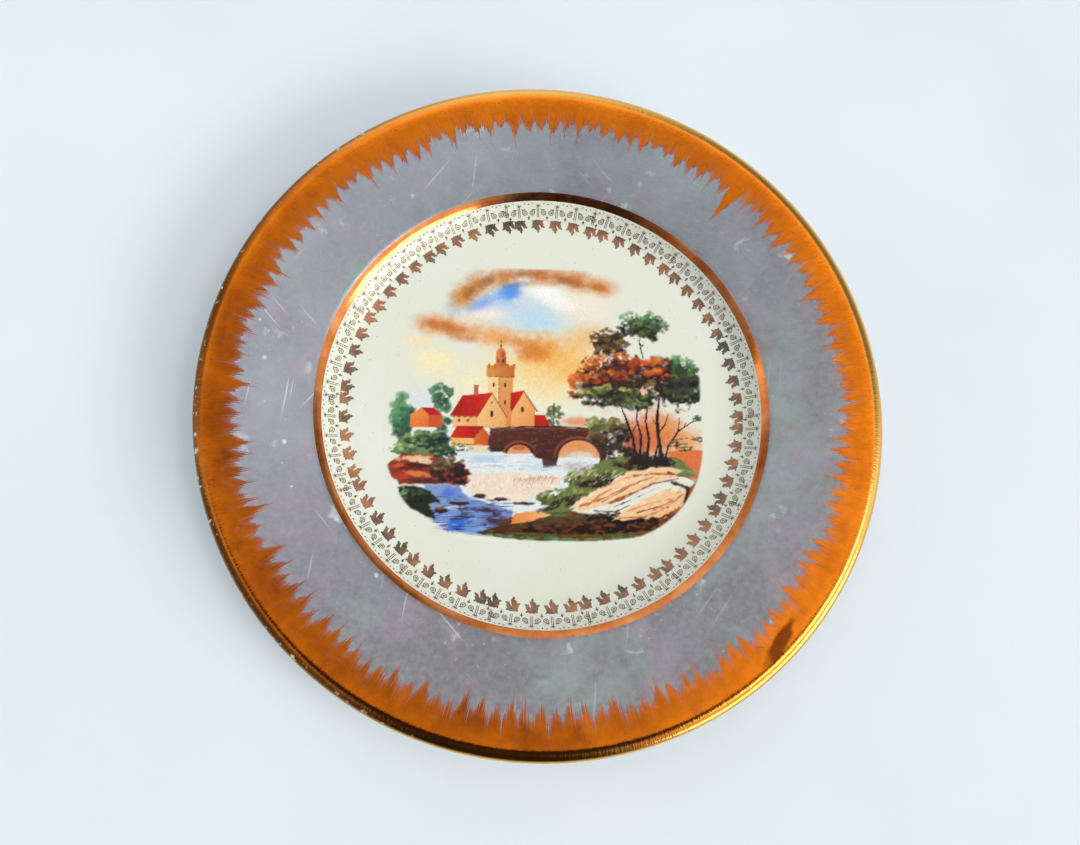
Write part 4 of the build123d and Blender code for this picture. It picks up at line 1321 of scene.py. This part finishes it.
def make_world():
    """A plain studio: pale ceiling with a dark patch in front, sides of uneven brightness, two windows."""
    world = bpy.data.worlds.new("studio")
    bpy.context.scene.world = world
    world.use_nodes = True
    n = Nodes(world.node_tree)
    background = world.node_tree.nodes["Background"]
    direction = n.add("ShaderNodeTexCoord").outputs["Generated"]
    x, y, z = n.add("ShaderNodeSeparateXYZ", {0: direction}).outputs
    turn = n.math("DIVIDE", n.math("ARCTAN2", y, x), 2 * math.pi)
    turn = n.math("ADD", turn, 0.5)
    ramp = n.add("ShaderNodeValToRGB", {0: turn}).outputs[0]
    elements = ramp.node.color_ramp.elements
    for degrees, level in SIDES:
        stop = elements.new((degrees + 180) / 360)
        stop.color = (level, level * 1.01, level * 1.04, 1)
    elements.remove(elements[0])
    ramp.node.color_ramp.interpolation = "EASE"
    sides = n.mix(n.span(z, 0.10, 0.45), HORIZON, ramp)
    flag = n.math("MULTIPLY", n.span(y, 0.16, 0.02), n.span(n.math("ABSOLUTE", x), 0.42, 0.28))
    light = n.mix(n.span(z, 0.78, 0.93), sides, n.mix(flag, CEILING, CEILING_SHADE))
    for heading, height, half_width, half_height, level in WINDOWS:
        facing, up = math.radians(heading), math.radians(height)
        right_way = (-math.sin(facing), math.cos(facing), 0.0)
        up_way = (-math.sin(up) * math.cos(facing), -math.sin(up) * math.sin(facing), math.cos(up))
        out_way = (math.cos(up) * math.cos(facing), math.cos(up) * math.sin(facing), math.sin(up))
        dots = [
            n.add("ShaderNodeVectorMath", {0: direction, 1: way}, operation="DOT_PRODUCT").outputs["Value"]
            for way in (right_way, up_way, out_way)
        ]
        pane = n.math("GREATER_THAN", dots[2], 0.0)
        for dot, half in ((dots[0], half_width), (dots[1], half_height)):
            pane = n.math("MULTIPLY", pane, n.span(n.math("ABSOLUTE", dot), half, half * WINDOW_CORE))
        light = n.mix(pane, light, (level, level * 0.985, level * 0.95))
    n.put(background.inputs["Color"], light)
    background.inputs["Strength"].default_value = WORLD_STRENGTH


CAMERA_LENS = 28.33
CAMERA_SENSOR = 36.0
CAMERA_PLACE = Matrix([
    (0.9969, -0.0168, -0.0763, -0.0280),
    (0.0000, 0.9767, -0.2147, -0.0801),
    (0.0781, 0.2140, 0.9737, 0.3405),
    (0, 0, 0, 1),
])


def make_camera():
    """A phone's view from above, about 35 cm away."""
    data = bpy.data.cameras.new("camera")
    data.lens, data.sensor_width = CAMERA_LENS, CAMERA_SENSOR
    data.clip_start = 0.01
    camera = bpy.data.objects.new("camera", data)
    bpy.context.scene.collection.objects.link(camera)
    camera.matrix_world = CAMERA_PLACE
    bpy.context.scene.camera = camera


# ---- Putting it together ----
def dress(node, made):
    """A CAD node whose shape is right gets a better material."""
    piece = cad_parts[node]
    piece.data.materials.clear()
    piece.data.materials.append(made)


def stand_for(piece, made, slot, *nodes):
    """A new piece gets its material if it has none yet, and takes the place of some CAD nodes."""
    if made is not None:
        piece.data.materials.append(made)
    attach(piece, "root")
    if nodes:
        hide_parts(*nodes)


dress("plate_body", biscuit_material("biscuit"))
dress("well_glaze", glaze_material("ivory_glaze"))
dress("back_glaze", glaze_material("ivory_glaze_back"))
dress("gold_verge_line", line_gold_material("verge_gold"))

COLUMNS = edge_columns()
LUSTRE_START = along_at_radius(VERGE_RADIUS)
stand_for(make_gold_rim(COLUMNS), rim_gold_material("brushed_gold"), "brushed_gold", "gold_rim_band")
LUSTRE = make_lustre(COLUMNS, LUSTRE_START)
stand_for(LUSTRE, lustre_material("pearl_lustre"), "pearl_lustre", "pearl_lustre_band")

LEAVES, GAPS = print_places()
LEAF_GOLD = print_gold_material("leaf_gold", (0.48, 0.22, 0.11), (0.11, 0.085, 0.055))
LINE_GOLD = print_gold_material("scroll_gold", (0.26, 0.17, 0.09), (0.12, 0.10, 0.07))
stand_for(lay_print("leaf_border", leaf_outlines(), LEAVES, LEAF_GOLD), None, "print_gold", "border_print")
stand_for(lay_print("bud_border", bud_outlines(), GAPS, LINE_GOLD), None, "print_gold")
stand_for(lay_print("scroll_border", scroll_outlines(), GAPS, LINE_GOLD), None, "print_gold")
stand_for(lay_print("palmette_border", palmette_outlines(), LEAVES, LINE_GOLD), None, "print_gold")
stand_for(lay_print("dot_border", dot_outlines(), GAPS, LINE_GOLD), None, "print_gold")
stand_for(make_picture(picture_material("enamel_print")), None, "enamel_print", "landscape_print")

make_floor()
make_world()
make_camera()
bpy.context.scene.view_settings.view_transform = "Standard"
